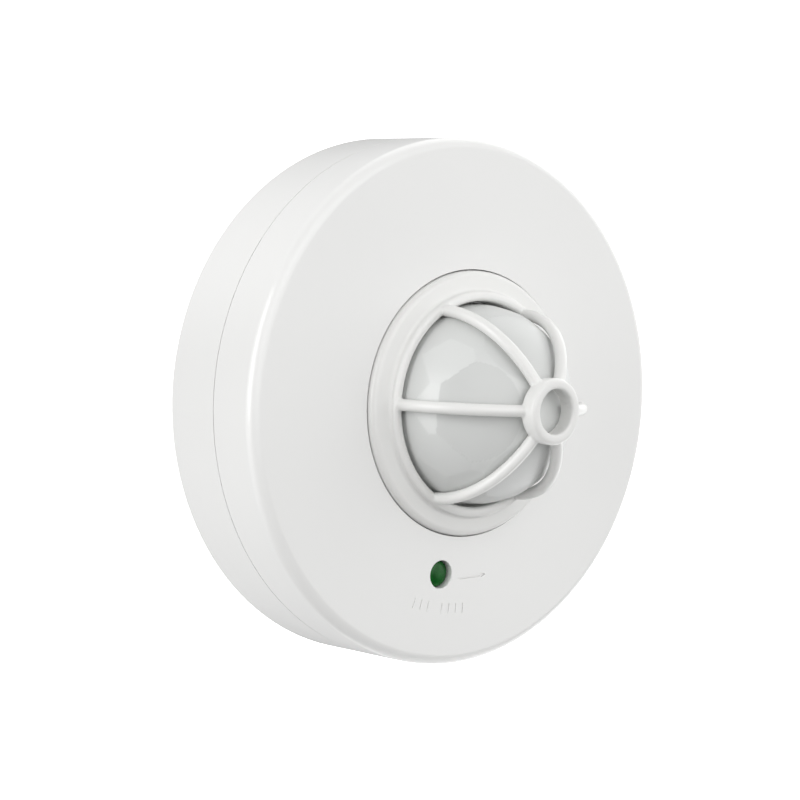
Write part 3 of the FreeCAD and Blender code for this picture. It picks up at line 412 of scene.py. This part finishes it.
class Shader:
    """A material's nodes, made one at a time. Sockets take a value or another node's output."""

    def __init__(self, name):
        self.material = bpy.data.materials.new(name)
        self.material.use_nodes = True
        self.tree = self.material.node_tree
        self.tree.nodes.clear()
        self.output = self.tree.nodes.new("ShaderNodeOutputMaterial")
        self.place = self.tree.nodes.new("ShaderNodeTexCoord").outputs["Object"]

    def add(self, kind, sockets=(), **settings):
        """A node with its settings, and with its inputs set or linked."""
        node = self.tree.nodes.new("ShaderNode" + kind)
        for word, setting in settings.items():
            setattr(node, word, setting)
        for word, value in dict(sockets).items():
            socket = node.inputs[word]
            if isinstance(value, bpy.types.NodeSocket):
                self.tree.links.new(value, socket)
            else:
                socket.default_value = value
        return node

    def noise(self, size, detail=3.0, place=None, roughness=0.5):
        """Noise from 0 to 1 whose blobs are about size mm across."""
        node = self.add("TexNoise", {
            "Vector": place or self.place, "Scale": 1 / (size * MM), "Detail": detail,
            "Roughness": roughness,
        })
        return node.outputs["Fac"]

    def ranged(self, value, low, high, start=0.3, end=0.7):
        """A value mapped from start-end to low-high."""
        node = self.add("MapRange", {
            "Value": value, "From Min": start, "From Max": end, "To Min": low, "To Max": high,
        })
        return node.outputs["Result"]

    def sum(self, kind, first, second=0.0):
        """The result of one Math node."""
        return self.add("Math", {0: first, 1: second}, operation=kind).outputs[0]

    def mixed(self, share, first, second):
        """A colour between two others. A Mix node keeps its colours at inputs 6 and 7 and output 2."""
        node = self.add("Mix", {"Factor": share, 6: first, 7: second}, data_type="RGBA")
        return node.outputs[2]

    def stretched(self, scale):
        """The place on the object, scaled along x, y and z."""
        node = self.add("Mapping", {"Vector": self.place, "Scale": scale})
        return node.outputs["Vector"]

    def bump(self, height, depth, strength=1.0, over=None):
        """A bump whose full range is depth mm."""
        sockets = {"Height": height, "Distance": depth * MM, "Strength": strength}
        if over:
            sockets["Normal"] = over
        return self.add("Bump", sockets).outputs["Normal"]

    def track_lines(self, across):
        """1 on evenly spaced straight lines, 0 between them."""
        apart = self.sum("PINGPONG", across, TRACK_PITCH * MM / 2)
        return self.sum("LESS_THAN", apart, TRACK_WIDTH * MM / 2)

    def finish(self, **sockets):
        """Ends the material in a Principled node: base_color sets its Base Color, and so on."""
        words = {}
        for word, value in sockets.items():
            title = word.replace("_", " ").title()
            words["IOR" if title == "Ior" else title] = value
        principled = self.add("BsdfPrincipled", words)
        self.tree.links.new(principled.outputs[0], self.output.inputs["Surface"])
        return self.material


def tint(colour, factor):
    """A colour made lighter or darker, with full alpha."""
    return tuple(min(1.0, channel * factor) for channel in colour[:3]) + (1.0,)


def moulded(name, colour, roughness, grain=0.35, grain_depth=0.004, mottle=0.03, ior=1.46, **more):
    """Injection-moulded plastic: faint clouding, a fine grain and slight long waves in the surface."""
    shader = Shader(name)
    clouds = shader.noise(30.0, 1.0)
    specks = shader.noise(0.5, 2.0)
    clouded = shader.sum("ADD", clouds, shader.sum("MULTIPLY", specks, 0.3))
    share = shader.ranged(clouded, 0.0, 1.0, 0.4, 0.9)
    base = shader.mixed(share, tint(colour, 1 - mottle), tint(colour, 1 + mottle))
    rough = shader.ranged(shader.noise(9.0, 1.0), roughness * 0.94, roughness * 1.06)
    waves = shader.bump(shader.noise(22.0, 1.0), 0.05)
    fine = shader.bump(shader.noise(grain, 2.0), grain_depth, over=waves)
    return shader.finish(base_color=base, roughness=rough, normal=fine, ior=ior, **more)


def plated(name, colour, roughness, streak=(1.0, 1.0, 0.12)):
    """Plated or drawn metal: fine streaks, dull patches and a little bright variation."""
    shader = Shader(name)
    streaks = shader.noise(0.12, 3.0, shader.stretched(streak))
    patches = shader.noise(1.6, 4.0)
    base = shader.mixed(shader.ranged(patches, 0.0, 1.0), tint(colour, 0.86), tint(colour, 1.06))
    rough = shader.ranged(shader.sum("ADD", streaks, patches), roughness * 0.7, roughness * 1.35, 0.6, 1.4)
    return shader.finish(
        base_color=base, metallic=1.0, roughness=rough, normal=shader.bump(streaks, 0.01, 0.6),
    )


def board_face(name, colour):
    """A circuit board: solder mask over bundles of straight copper tracks, with tinned pads."""
    shader = Shader(name)
    flat = shader.stretched((1.0, 0.0, 1.0))
    split = shader.add("SeparateXYZ", {0: shader.place}).outputs
    areas = shader.add("TexVoronoi", {
        "Vector": flat, "Scale": 1 / (TRACK_AREA * MM), "Randomness": 0.7,
    }, distance="CHEBYCHEV")
    upright = shader.sum("GREATER_THAN", areas.outputs["Color"], 0.5)
    track = shader.sum("MULTIPLY", shader.track_lines(split[0]), upright)
    level = shader.sum("MULTIPLY", shader.track_lines(split[2]), shader.sum("SUBTRACT", 1.0, upright))
    track = shader.sum("ADD", track, level)
    pads = shader.add("TexVoronoi", {"Vector": flat, "Scale": 1 / (PAD_PITCH * MM), "Randomness": 0.6})
    pad = shader.ranged(pads.outputs["Distance"], 1.0, 0.0, 0.13, 0.15)
    weave = shader.noise(0.6, 2.0, shader.stretched((1.0, 0.0, 3.0)))
    mask = shader.mixed(shader.ranged(weave, 0.0, 1.0), tint(colour, 0.85), tint(colour, 1.1))
    tracked = shader.mixed(track, mask, tint(colour, 1.5))
    base = shader.mixed(pad, tracked, (0.62, 0.62, 0.60, 1.0))
    rough = shader.ranged(pad, 0.34, 0.22, 0.0, 1.0)
    raised = shader.bump(shader.sum("MAXIMUM", track, pad), 0.04)
    return shader.finish(base_color=base, roughness=rough, metallic=pad, normal=raised)


def banded(name, colour, bands, band_colour, roughness):
    """A lacquered body with bands across x: bands are (middle, half width) in mm."""
    shader = Shader(name)
    across = shader.add("SeparateXYZ", {0: shader.place}).outputs[0]
    share = None
    for middle, half in bands:
        apart = shader.sum("ABSOLUTE", shader.sum("SUBTRACT", across, middle * MM))
        band = shader.sum("LESS_THAN", apart, half * MM)
        share = shader.sum("MAXIMUM", share, band) if share else band
    lacquer = shader.noise(0.8, 3.0)
    body = shader.mixed(shader.ranged(lacquer, 0.0, 1.0), tint(colour, 0.9), tint(colour, 1.08))
    base = shader.mixed(share, body, band_colour)
    rough = shader.ranged(lacquer, roughness * 0.8, roughness * 1.2)
    return shader.finish(base_color=base, roughness=rough, normal=shader.bump(lacquer, 0.02))


def wound(name, colour):
    """Enamelled wire in close turns round x, painted darker in the grooves between turns and lighter on
    their crests: painted shade and painted highlight.
    """
    shader = Shader(name)
    turns = shader.add("TexWave", {
        "Vector": shader.place, "Scale": 1 / (2.2 * MM), "Distortion": 0.4, "Detail": 1.0,
    }, wave_type="BANDS", bands_direction="X").outputs["Fac"]
    # Painted shade in the grooves between turns and a painted highlight on their crests.
    base = shader.mixed(turns, tint(colour, 0.35), tint(colour, 1.2))
    rough = shader.ranged(turns, 0.5, 0.25, 0.0, 1.0)
    return shader.finish(base_color=base, roughness=rough, metallic=0.6, normal=shader.bump(turns, 0.08))


def rubber(name, colour):
    """Dull rubber with a faint pale bloom."""
    shader = Shader(name)
    bloom = shader.noise(2.5, 5.0)
    base = shader.mixed(shader.ranged(bloom, 0.0, 1.0), tint(colour, 0.8), tint(colour, 1.3))
    rough = shader.ranged(bloom, 0.55, 0.8)
    return shader.finish(base_color=base, roughness=rough, normal=shader.bump(shader.noise(0.3), 0.02))


def lens_film(name, colour):
    """Milky moulded lens: a painted shade for each facet, lighter or darker for the light and reflection it
    catches, and fine rings about each facet's middle.
    """
    colour = tint(colour, LENS_LIFT)
    shader = Shader(name)
    rho = shader.add("Attribute", attribute_name="facet_rho").outputs["Fac"]
    painted_shade = shader.add("Attribute", attribute_name="facet_painted_shade").outputs["Fac"]
    turn = shader.sum("MULTIPLY", rho, 2 * math.pi / GROOVE_PITCH)
    rings = shader.sum("MULTIPLY", shader.sum("SINE", turn), shader.ranged(rho, 0.0, 1.0, 1.0, 4.0))
    cloud = shader.noise(6.0, 3.0)
    # The base colour follows each facet's painted shade, with a little random clouding: painted light and
    # shade on the lens.
    share = shader.sum("ADD", shader.sum("MULTIPLY", painted_shade, 0.9), shader.sum("MULTIPLY", cloud, 0.1))
    base = shader.mixed(share, tint(colour, 0.9), tint(colour, 1.06))
    rough = shader.ranged(cloud, 0.3, 0.34)
    normal = shader.bump(rings, 0.006, 0.5, over=shader.bump(shader.noise(9.0, 1.0), 0.06))
    return shader.finish(
        base_color=base, roughness=rough, normal=normal, ior=1.38, coat_weight=0.1, coat_roughness=0.1,
    )


def indicator_resin(name, colour):
    """Deeply tinted resin, a little cloudy and smooth at the tip."""
    shader = Shader(name)
    cloud = shader.noise(1.2, 3.0)
    deep = [channel * shift for channel, shift in zip(colour, LED_SHIFT)]
    base = shader.mixed(shader.ranged(cloud, 0.0, 1.0), tint(deep, 0.8), tint(deep, 1.25))
    rough = shader.ranged(cloud, 0.06, 0.12)
    return shader.finish(
        base_color=base, roughness=rough, normal=shader.bump(cloud, 0.02), ior=1.3,
        transmission_weight=0.1,
    )


SLOT_COLOURS = {
    row["slot"]: tuple(row["base_color"][:3]) for row in frame["record"]["materials"]
}


MATERIALS = {
    # the record's slot: the function that makes its material, and how
    "white_shell": (moulded, {
        "roughness": 0.33, "mottle": 0.004, "coat_weight": 0.5, "coat_roughness": 0.16,
    }),
    "guard_white": (moulded, {
        "roughness": 0.35, "mottle": 0.006, "coat_weight": 0.3, "coat_roughness": 0.2,
    }),
    "milky_lens": (lens_film, {}),
    "inner_white": (moulded, {"roughness": 0.5, "mottle": 0.03}),
    "soft_grey": (rubber, {}),
    "block_plastic": (moulded, {"roughness": 0.5, "grain_depth": 0.02}),
    "plated_steel": (plated, {"roughness": 0.32}),
    "contact_brass": (plated, {"roughness": 0.3}),
    "board_green": (board_face, {}),
    "can_metal": (plated, {"roughness": 0.25}),
    "led_green": (indicator_resin, {}),
    "chip_black": (moulded, {"roughness": 0.6, "grain_depth": 0.02, "mottle": 0.2}),
    "relay_plastic": (moulded, {"roughness": 0.35, "mottle": 0.08}),
    "winding": (wound, {}),
    "soft_iron": (plated, {"roughness": 0.42}),
    "film_yellow": (moulded, {"roughness": 0.4, "mottle": 0.08}),
    "varistor_blue": (moulded, {"roughness": 0.42, "grain": 1.2, "grain_depth": 0.05, "mottle": 0.15}),
    "trimmer_blue": (moulded, {"roughness": 0.5, "mottle": 0.08}),
    "knob_white": (moulded, {"roughness": 0.45, "mottle": 0.05}),
    "filter_glass": (moulded, {"roughness": 0.12, "mottle": 0.2, "ior": 1.5}),
    "cell_face": (wound, {}),
    "sleeve_black": (banded, {
        "bands": [(-19.2, 0.9), (26.8, 0.9)], "band_colour": (0.55, 0.56, 0.58, 1), "roughness": 0.3,
    }),
    "fuse_glass": (banded, {
        "bands": [(-26.5, 2.8)], "band_colour": (0.30, 0.32, 0.31, 1), "roughness": 0.12,
    }),
    "resistor_tan": (banded, {
        "bands": [(-38.2, 0.25), (-37.3, 0.25), (-36.4, 0.25), (-34.9, 0.25)],
        "band_colour": (0.16, 0.06, 0.03, 1), "roughness": 0.3,
    }),
}


def slot_materials():
    """A finished material for each of the record's slots."""
    return {slot: make(slot, SLOT_COLOURS[slot], **how) for slot, (make, how) in MATERIALS.items()}


def dress_frame(materials):
    """Gives every CAD node the finished material of its slot."""
    slots = {row["node"]: row["material_slot"] for row in frame["record"]["subparts"]}
    for node, obj in frame["nodes"].items():
        for index in range(len(obj.material_slots)):
            obj.material_slots[index].material = materials[slots[node]]


# ---- Pieces that show -------------------------------------------------------------------------------

def drafted(height):
    """The housing's outer radius: its side leans in from the wall to the face."""
    return BACK_R - (BACK_R - FRONT_R) * height / DEPTH


def arrow_outline():
    """A curved arrow: out along one side of its shaft, round the head and back along the other."""
    start = ARROW_CENTRE - ARROW_SPAN / 2
    end = ARROW_CENTRE + ARROW_SPAN / 2
    steps = 12
    angles = [start + (end - start) * step / steps for step in range(steps + 1)]
    length, half = ARROW_HEAD
    middle = polar(ARROW_RHO, end)
    along = polar(length, end + 90)
    outline = [polar(ARROW_RHO + ARROW_HALF_WIDTH, angle) for angle in angles]
    outline += [polar(ARROW_RHO + half, end), (middle[0] + along[0], middle[1] + along[1])]
    outline.append(polar(ARROW_RHO - half, end))
    outline += [polar(ARROW_RHO - ARROW_HALF_WIDTH, angle) for angle in reversed(angles)]
    return outline


def cover_marks():
    """Cutters for a plain curved arrow and a row of ticks under the indicator."""
    front = DEPTH + 1
    cutters = [prism(arrow_outline(), DEPTH - ARROW_DEPTH, front)]
    for place in TICK_PLACES:
        angle = TICK_FIRST + TICK_PITCH * place
        cutters.append(arc_block(*TICK_RHO, DEPTH - TICK_DEPTH, front, angle, TICK_SPAN, 4))
    return cutters


def cover_moulding(material):
    """The front half of the housing, with its edge, recess, holes, feet, bosses and marks."""
    low = PARTING + SEAM
    inside = DEPTH - FACE
    step = low - SEAM_STEP
    middle = drafted(low) - SEAM_LAND
    cover = lathed("cover_moulding", rounded([
        # (radius, height, rounding)
        (drafted(low), low, 0.12),
        (FRONT_R, DEPTH, EDGE_ROUND),
        (RECESS_R, DEPTH, 0.12),
        (RECESS_R, RECESS_FLOOR, 0.15),
        (LENS_HOLE_R, RECESS_FLOOR, 0.2),
        (LENS_HOLE_R, RECESS_BACK, 0.1),
        (RECESS_WALL_R, RECESS_BACK, 0),
        (RECESS_WALL_R, inside, 0.4),
        (drafted(inside) - WALL, inside, 0.8),
        (drafted(low) - WALL, step, 0.1),
        (middle, step, 0),
        (middle, low, 0),
    ], steps=10))
    tube_back = inside - INDICATOR_TUBE
    cut_or_join(cover, cover_additions(inside, tube_back), "UNION")
    cut_or_join(cover, cover_holes(tube_back) + cover_marks(), "DIFFERENCE")
    shaded(cover)
    stands_for(cover, "front_cover", "head", material)


def cover_additions(inside, tube_back):
    """The twist lock's legs and feet, the screw bosses and the indicator's tube."""
    into = inside + OVERLAP
    added = thrice(lambda turn: arc_block(*LEG, FOOT_BACK, into, turn, FOOT_SPAN))
    added += thrice(lambda turn: arc_block(*FOOT[:2], FOOT_BACK, FOOT_BACK + FOOT[2], turn, FOOT_SPAN))
    added += thrice(lambda turn: disc_stack(
        *polar(BOSS_RHO, BOSS_ANGLE + turn), [(BOSS_R, BOARD_FRONT), (BOSS_R, into)],
    ))
    added += thrice(lambda turn: disc_stack(
        *polar(LENS_BOSS_RHO, LENS_BOSS_ANGLE + turn),
        [(LENS_BOSS_R, LENS_BACK), (LENS_BOSS_R, RECESS_BACK + OVERLAP)],
    ))
    added.append(disc_stack(LED_X, LED_UP, [(INDICATOR_TUBE_R, tube_back), (INDICATOR_TUBE_R, into)]))
    return added


def cover_holes(tube_back):
    """Cutters for the pilot holes, the indicator's hole, the keyhole slots and the trimmers' windows."""
    holes = thrice(lambda turn: disc_stack(
        *polar(BOSS_RHO, BOSS_ANGLE + turn), [(PILOT_R, BOARD_FRONT - PAST), (PILOT_R, PILOT_TOP)],
    ))
    holes += thrice(lambda turn: disc_stack(
        *polar(LENS_BOSS_RHO, LENS_BOSS_ANGLE + turn),
        [(LENS_PILOT_R, LENS_BACK - PAST), (LENS_PILOT_R, RECESS_BACK + LENS_PILOT)],
    ))
    hole = INDICATOR_HOLE_R
    mouth = hole + INDICATOR_LEAD_IN
    holes.append(disc_stack(LED_X, LED_UP, [
        (hole, tube_back - PAST), (hole, DEPTH - INDICATOR_LEAD_IN), (mouth, DEPTH), (mouth, DEPTH + PAST),
    ], 96))
    low, high = RECESS_BACK - PAST, RECESS_FLOOR + OVERLAP
    inner, wide_inner, outer, wide_outer = SLOT
    wide_span = LUG_SPAN + 2 * SLOT_MARGIN
    holes += thrice(lambda turn: arc_block(
        inner, outer, low, high, LUG_ANGLE + GUARD_TWIST / 2 + turn, GUARD_TWIST + wide_span,
    ))
    holes += thrice(lambda turn: arc_block(
        wide_inner, wide_outer, low, high, LUG_ANGLE + GUARD_TWIST + turn, wide_span,
    ))
    for angle in TRIMMER_ANGLES:
        holes.append(disc_stack(*polar(TRIMMER_RHO, angle), [(WINDOW_R, low), (WINDOW_R, high)]))
    return holes


def collar_moulding(material):
    """The collar round the cage: a sloped ring with a lip against the cage and three lugs behind."""
    foot_front = COLLAR_BACK + RING_FOOT
    inner = RING[1] + COLLAR_GAP
    lip_r = RING[1] + FILLET_GAP
    sunk_r = RING[1] - FILLET_SINK
    lip_back = COLLAR_TOP - 2 * FILLET_SINK
    collar = lathed("collar_moulding", rounded([
        # (radius, height, rounding)
        (RING_FOOT_R, COLLAR_BACK, 0.1),
        (COLLAR_R, COLLAR_BACK, 0.15),
        (COLLAR_R, DEPTH, 0),
        (COLLAR_TOP_R, COLLAR_TOP - COLLAR_SLOPE, COLLAR_ROUND),
        (lip_r, COLLAR_TOP, FILLET),
        (lip_r, COLLAR_TOP + FILLET + 0.05, 0),
        (sunk_r, COLLAR_TOP + FILLET - 0.1, 0),
        (sunk_r, lip_back, 0),
        (inner, lip_back, 0),
        (inner, foot_front, 0),
        (RING_FOOT_R, foot_front, 0),
    ]))
    lug_inner, neck_outer, foot_outer, foot_height = LUG
    lugs = thrice(lambda turn: arc_block(
        lug_inner, neck_outer, LUG_BACK, COLLAR_BACK + OVERLAP, LUG_ANGLE + turn, LUG_SPAN,
    ))
    lugs += thrice(lambda turn: arc_block(
        lug_inner, foot_outer, LUG_BACK, LUG_BACK + foot_height, LUG_ANGLE + turn, LUG_SPAN,
    ))
    cut_or_join(collar, lugs, "UNION")
    shaded(collar)
    stands_for(collar, "collar_ring", "guard", material)


def guard_rib(number):
    """One bar of the cage: a quarter ellipse from the ring up to the hub."""
    across, up = polar(1.0, RIB_ANGLE + 360 * number / RIB_COUNT)
    last = math.acos((HUB[0] + HUB[1]) / 2 / RIB_REACH)
    steps = 40
    path = []
    for step in range(steps + 1):
        turn = last * step / steps
        rho = RIB_REACH * math.cos(turn)
        path.append((rho * across, rho * up, RIB_BASE + RIB_RISE * math.sin(turn)))
    return swept(path, RIB_R)


def guard_moulding(material):
    """The cage as one moulding: its bars run into the ring and the hub with small fillets."""
    foot_front = COLLAR_BACK + RING_FOOT
    ring = lathed("ring", rounded([
        (RING[0], COLLAR_BACK, 0),
        (RING_FOOT_R, COLLAR_BACK, 0),
        (RING_FOOT_R, foot_front, 0),
        (RING[1], foot_front, 0),
        (RING[1], RING[2], RING_ROUND),
        (RING[0], RING[2], RING_ROUND),
    ]), 192)
    hub = lathed("hub", rounded([
        (HUB[0], HUB[2], 0.3),
        (HUB[1], HUB[2], HUB_ROUND),
        (HUB[1], HUB_FRONT, HUB_ROUND),
        (HUB[0], HUB_FRONT, 0.5),
    ]), 96)
    cage = merged("guard_moulding", [ring, hub] + [guard_rib(number) for number in range(RIB_COUNT)])
    remesh = cage.modifiers.new("one_skin", "REMESH")
    remesh.mode = "VOXEL"
    remesh.voxel_size = SKIN_VOXEL * MM
    soften = cage.modifiers.new("fillets", "SMOOTH")
    soften.factor, soften.iterations = SKIN_SMOOTHING
    settled(cage)
    cage.data.polygons.foreach_set("use_smooth", [True] * len(cage.data.polygons))
    stands_for(cage, "guard_cage", "guard", material)


def facets():
    """For each facet: which way its middle faces, how deep its plane lies, and its painted shade."""
    directions = []
    depths = []
    painted_shades = []
    for polar_angle, first, depth, ring_painted_shades in FACET_RINGS:
        tilt = math.radians(polar_angle)
        for number, painted_shade in enumerate(ring_painted_shades):
            across, up = polar(math.sin(tilt), first + 360 * number / len(ring_painted_shades))
            directions.append((across, up, math.cos(tilt)))
            depths.append(depth)
            painted_shades.append(painted_shade)
    return np.array(directions), np.array(depths), np.array(painted_shades)


def lens_surface(around, rows):
    """The dome's points outside and inside, and each one's way from its facet's middle and painted shade.
    """
    directions, depths, painted_shades = facets()
    tilt = np.linspace(0, math.pi / 2, rows + 1)[1:, None]
    turn = np.linspace(0, 2 * math.pi, around, endpoint=False)[None, :]
    unit = np.stack([
        np.sin(tilt) * np.cos(turn), np.sin(tilt) * np.sin(turn), np.cos(tilt) + 0 * turn,
    ], axis=-1)
    facing = unit @ directions.T
    planes = depths / np.clip(facing, FACET_REACH, None)
    nearest = planes.argmin(axis=-1)
    plane = planes.min(axis=-1)
    fade = np.clip((math.pi / 2 - tilt) / math.radians(FACET_FADE), 0, 1) ** 0.5
    scale = 1 + FACET_DEPTH * fade * (np.minimum(plane, 1.0) - 1)
    size = np.array([LENS_R, LENS_R, LENS_RISE])
    middle = np.array([0, 0, LENS_CENTRE])
    outer = unit * scale[..., None] * size + middle
    inner = unit * (size - LENS_SKIN) + middle
    own_facing = np.take_along_axis(facing, nearest[..., None], -1)[..., 0]
    rho = np.arccos(np.clip(own_facing, -1, 1)) * LENS_R
    painted_shade = np.where(plane < 1, painted_shades[nearest], POLE_PAINTED_SHADE)
    return outer, inner, rho, painted_shade


def lens_moulding(material):
    """The dome as a thin shell: flattened facets outside, a smooth ellipsoid inside, a flange behind."""
    around = 288
    rows = 96
    outer, inner, row_rho, row_painted_shade = lens_surface(around, rows)
    turn = np.linspace(0, 2 * math.pi, around, endpoint=False)
    flange_front = LENS_BACK + LENS_FLANGE
    rings = list(outer)
    for radius, height in (
        (LENS_R, flange_front), (LENS_FLANGE_R, flange_front),
        (LENS_FLANGE_R, LENS_BACK), (LENS_R - LENS_SKIN, LENS_BACK),
    ):
        rings.append(np.stack([radius * np.cos(turn), radius * np.sin(turn), height + 0 * turn], axis=-1))
    flange_rings = len(rings) - rows
    rings += list(inner[::-1])
    marked_rows = list(range(rows)) + [rows - 1] * flange_rings + list(reversed(range(rows)))

    points = [(0, 0, LENS_CENTRE + LENS_RISE)]
    rho = [0.0]
    painted_shade = [POLE_PAINTED_SHADE]
    for ring, row in zip(rings, marked_rows):
        points.extend(map(tuple, ring))
        rho.extend(row_rho[row])
        painted_shade.extend(row_painted_shade[row])
    points.append((0, 0, LENS_CENTRE + LENS_RISE - LENS_SKIN))
    rho.append(0.0)
    painted_shade.append(POLE_PAINTED_SHADE)

    faces = []
    last_ring = 1 + (len(rings) - 1) * around
    for step in range(around):
        after = (step + 1) % around
        faces.append([0, 1 + step, 1 + after])
        for low in range(1, last_ring, around):
            faces.append([low + step, low + around + step, low + around + after, low + after])
        faces.append([last_ring + step, len(points) - 1, last_ring + after])
    lens = new_object("lens_moulding", points, faces)
    # Each point carries its facet's painted shade for the lens material.
    for word, numbers in (("facet_rho", rho), ("facet_painted_shade", painted_shade)):
        layer = lens.data.attributes.new(word, "FLOAT", "POINT")
        layer.data.foreach_set("value", np.array(numbers, dtype=np.float32))
    lens.data.polygons.foreach_set("use_smooth", [True] * len(lens.data.polygons))
    lens.data.set_sharp_from_angle(angle=math.radians(LENS_CREASE))
    stands_for(lens, "lens_dome", "head", material)


def indicator_moulding(material):
    """The indicator's resin body: rim, barrel and low domed tip."""
    rim_front = LED_BACK + LED_RIM
    rings = [
        (LED_FLANGE_R - LED_RIM_EDGE, LED_BACK),
        (LED_FLANGE_R, LED_BACK + LED_RIM_EDGE),
        (LED_FLANGE_R, rim_front - LED_RIM_EDGE),
        (LED_FLANGE_R - LED_RIM_EDGE, rim_front),
        (LED_R, rim_front + LED_RIM_EDGE / 2),
    ]
    steps = 20
    for step in range(steps + 1):
        turn = math.radians(LED_DOME_TURN) * step / steps
        rings.append((LED_R * math.cos(turn), LED_TIP - LED_DOME + LED_DOME * math.sin(turn)))
    body = disc_stack(LED_X, LED_UP, rings, 72)
    body.name = "indicator_moulding"
    shaded(body, 50)
    stands_for(body, "indicator_led", "head", material)


# ---- Studio -----------------------------------------------------------------------------------------

def away(azimuth, elevation):
    """The direction from the sensor to a place round it: azimuth 0 is straight in front."""
    turn, tilt = math.radians(azimuth), math.radians(elevation)
    return Vector((math.sin(turn) * math.cos(tilt), -math.cos(turn) * math.cos(tilt), math.sin(tilt)))


def make_camera():
    """The photo's camera: its place round the sensor, and straight at it."""
    back = away(CAMERA_AZIMUTH, CAMERA_ELEVATION)
    right = Vector((math.cos(math.radians(CAMERA_AZIMUTH)), math.sin(math.radians(CAMERA_AZIMUTH)), 0))
    up = back.cross(right)
    data = bpy.data.cameras.new("camera")
    data.lens = CAMERA_LENS
    data.sensor_width = 36.0
    data.clip_start = 0.02
    camera = bpy.data.objects.new("camera", data)
    bpy.context.collection.objects.link(camera)
    place = (back * CAMERA_DISTANCE + right * CAMERA_RIGHT + up * CAMERA_UP) * MM
    turned = Matrix((right, up, back)).transposed().to_4x4()
    camera.matrix_world = Matrix.Translation(place) @ turned
    bpy.context.scene.camera = camera


# Soft panels round the sensor: azimuth, elevation, strength at the middle.
PANELS = {
    "front_key": (-7.0, 21.0, 2.00),
    "front_left_fill": (-20.0, -11.0, 0.20),
    "right_fill": (45.0, 13.0, 1.60),
    "right_side": (98.0, 6.0, 0.75),
    "right_back": (118.0, -13.0, 0.60),
    "right_back_above": (110.0, 40.0, 1.50),
    "left_low": (-105.0, -16.0, 1.40),
    "behind_above": (-165.0, 47.0, 0.95),
    "above": (90.0, 78.0, 0.30),
    "table_left": (-65.0, -70.0, 0.25),
    "table_behind": (-170.0, -43.0, 0.95),
    "table_right": (105.0, -50.0, 1.70),
}
PANEL_EDGE = 0.72  # the cosine of the angle at which a panel's light ends
STRIPS = {
    # name: (azimuth, elevation, distance m, width m, height m, strength W)
    "left_softbox": (-85.0, 17.0, 0.9, 0.5, 0.7, 4.5),
}


def make_lights():
    """Soft boxes that face the sensor."""
    for name, (azimuth, elevation, distance, width, height, strength) in STRIPS.items():
        data = bpy.data.lights.new(name, "AREA")
        data.shape = "RECTANGLE"
        data.size = width
        data.size_y = height
        data.energy = strength
        lamp = bpy.data.objects.new(name, data)
        bpy.context.collection.objects.link(lamp)
        direction = away(azimuth, elevation)
        lamp.location = direction * distance
        lamp.rotation_mode = "QUATERNION"
        lamp.rotation_quaternion = direction.to_track_quat("Z", "Y")
        lamp.visible_camera = False


def make_world():
    """Light from all round: each panel fades out smoothly from its middle to its edge."""
    world = bpy.data.worlds.new("studio")
    bpy.context.scene.world = world
    world.use_nodes = True
    tree = world.node_tree
    background = tree.nodes["Background"]
    background.inputs["Color"].default_value = (1, 1, 1, 1)
    direction = tree.nodes.new("ShaderNodeTexCoord").outputs["Generated"]
    total = None
    for name, (azimuth, elevation, strength) in PANELS.items():
        towards = tree.nodes.new("ShaderNodeVectorMath")
        towards.operation = "DOT_PRODUCT"
        towards.label = name
        towards.inputs[1].default_value = away(azimuth, elevation)
        tree.links.new(direction, towards.inputs[0])
        fade = tree.nodes.new("ShaderNodeMapRange")
        fade.interpolation_type = "SMOOTHSTEP"
        fade.inputs["From Min"].default_value = PANEL_EDGE
        fade.inputs["To Max"].default_value = strength
        tree.links.new(towards.outputs["Value"], fade.inputs["Value"])
        if total is None:
            total = fade.outputs[0]
            continue
        both = tree.nodes.new("ShaderNodeMath")
        both.operation = "ADD"
        tree.links.new(total, both.inputs[0])
        tree.links.new(fade.outputs[0], both.inputs[1])
        total = both.outputs[0]
    tree.links.new(total, background.inputs["Strength"])


# Cove: its flat floor, the bend round it, its wall and its roof, and how far it lies below the sensor
COVE_FLOOR_R = 1100.0
COVE_BEND = 400.0
COVE_WALL = 1800.0
COVE_ROOF = 2300.0
COVE_DROP = 320.0


def make_cove():
    """A plain white floor that curves up all round into the backdrop."""
    outline = [(0.0, 0.0), (COVE_FLOOR_R, 0.0)]
    bend_steps = 12
    for step in range(1, bend_steps + 1):
        turn = math.radians(90) * step / bend_steps
        outline.append((COVE_FLOOR_R + COVE_BEND * math.sin(turn), COVE_BEND * (1 - math.cos(turn))))
    outline += [(COVE_FLOOR_R + COVE_BEND, COVE_WALL), (0.0, COVE_ROOF)]
    around = 64
    points = []
    for across, height in outline:
        for step in range(around):
            angle = 2 * math.pi * step / around
            points.append((across * math.cos(angle), height - COVE_DROP, across * math.sin(angle)))
    faces = []
    for ring in range(len(outline) - 1):
        for step in range(around):
            low = ring * around + step
            after = ring * around + (step + 1) % around
            faces.append([low, after, after + around, low + around])
    cove = new_object("studio_cove", points, faces)
    cove.data.polygons.foreach_set("use_smooth", [True] * len(cove.data.polygons))
    shader = Shader("cove_paper")
    fibres = shader.noise(60.0, 3.0)
    white = shader.mixed(shader.ranged(fibres, 0.0, 1.0), (0.985, 0.985, 0.985, 1), (1.0, 1.0, 1.0, 1))
    shader.finish(base_color=(0.8, 0.8, 0.8, 1), roughness=0.9, emission_color=white, emission_strength=1.0)
    cove.data.materials.append(shader.material)
    cove.visible_diffuse = False
    cove.visible_glossy = False
    cove.visible_transmission = False
    cove.visible_shadow = False


def main():
    materials = slot_materials()
    dress_frame(materials)
    cover_moulding(materials["white_shell"])
    collar_moulding(materials["guard_white"])
    guard_moulding(materials["guard_white"])
    lens_moulding(materials["milky_lens"])
    indicator_moulding(materials["led_green"])
    make_camera()
    make_lights()
    make_world()
    make_cove()
    bpy.context.scene.view_settings.view_transform = "Standard"


main()
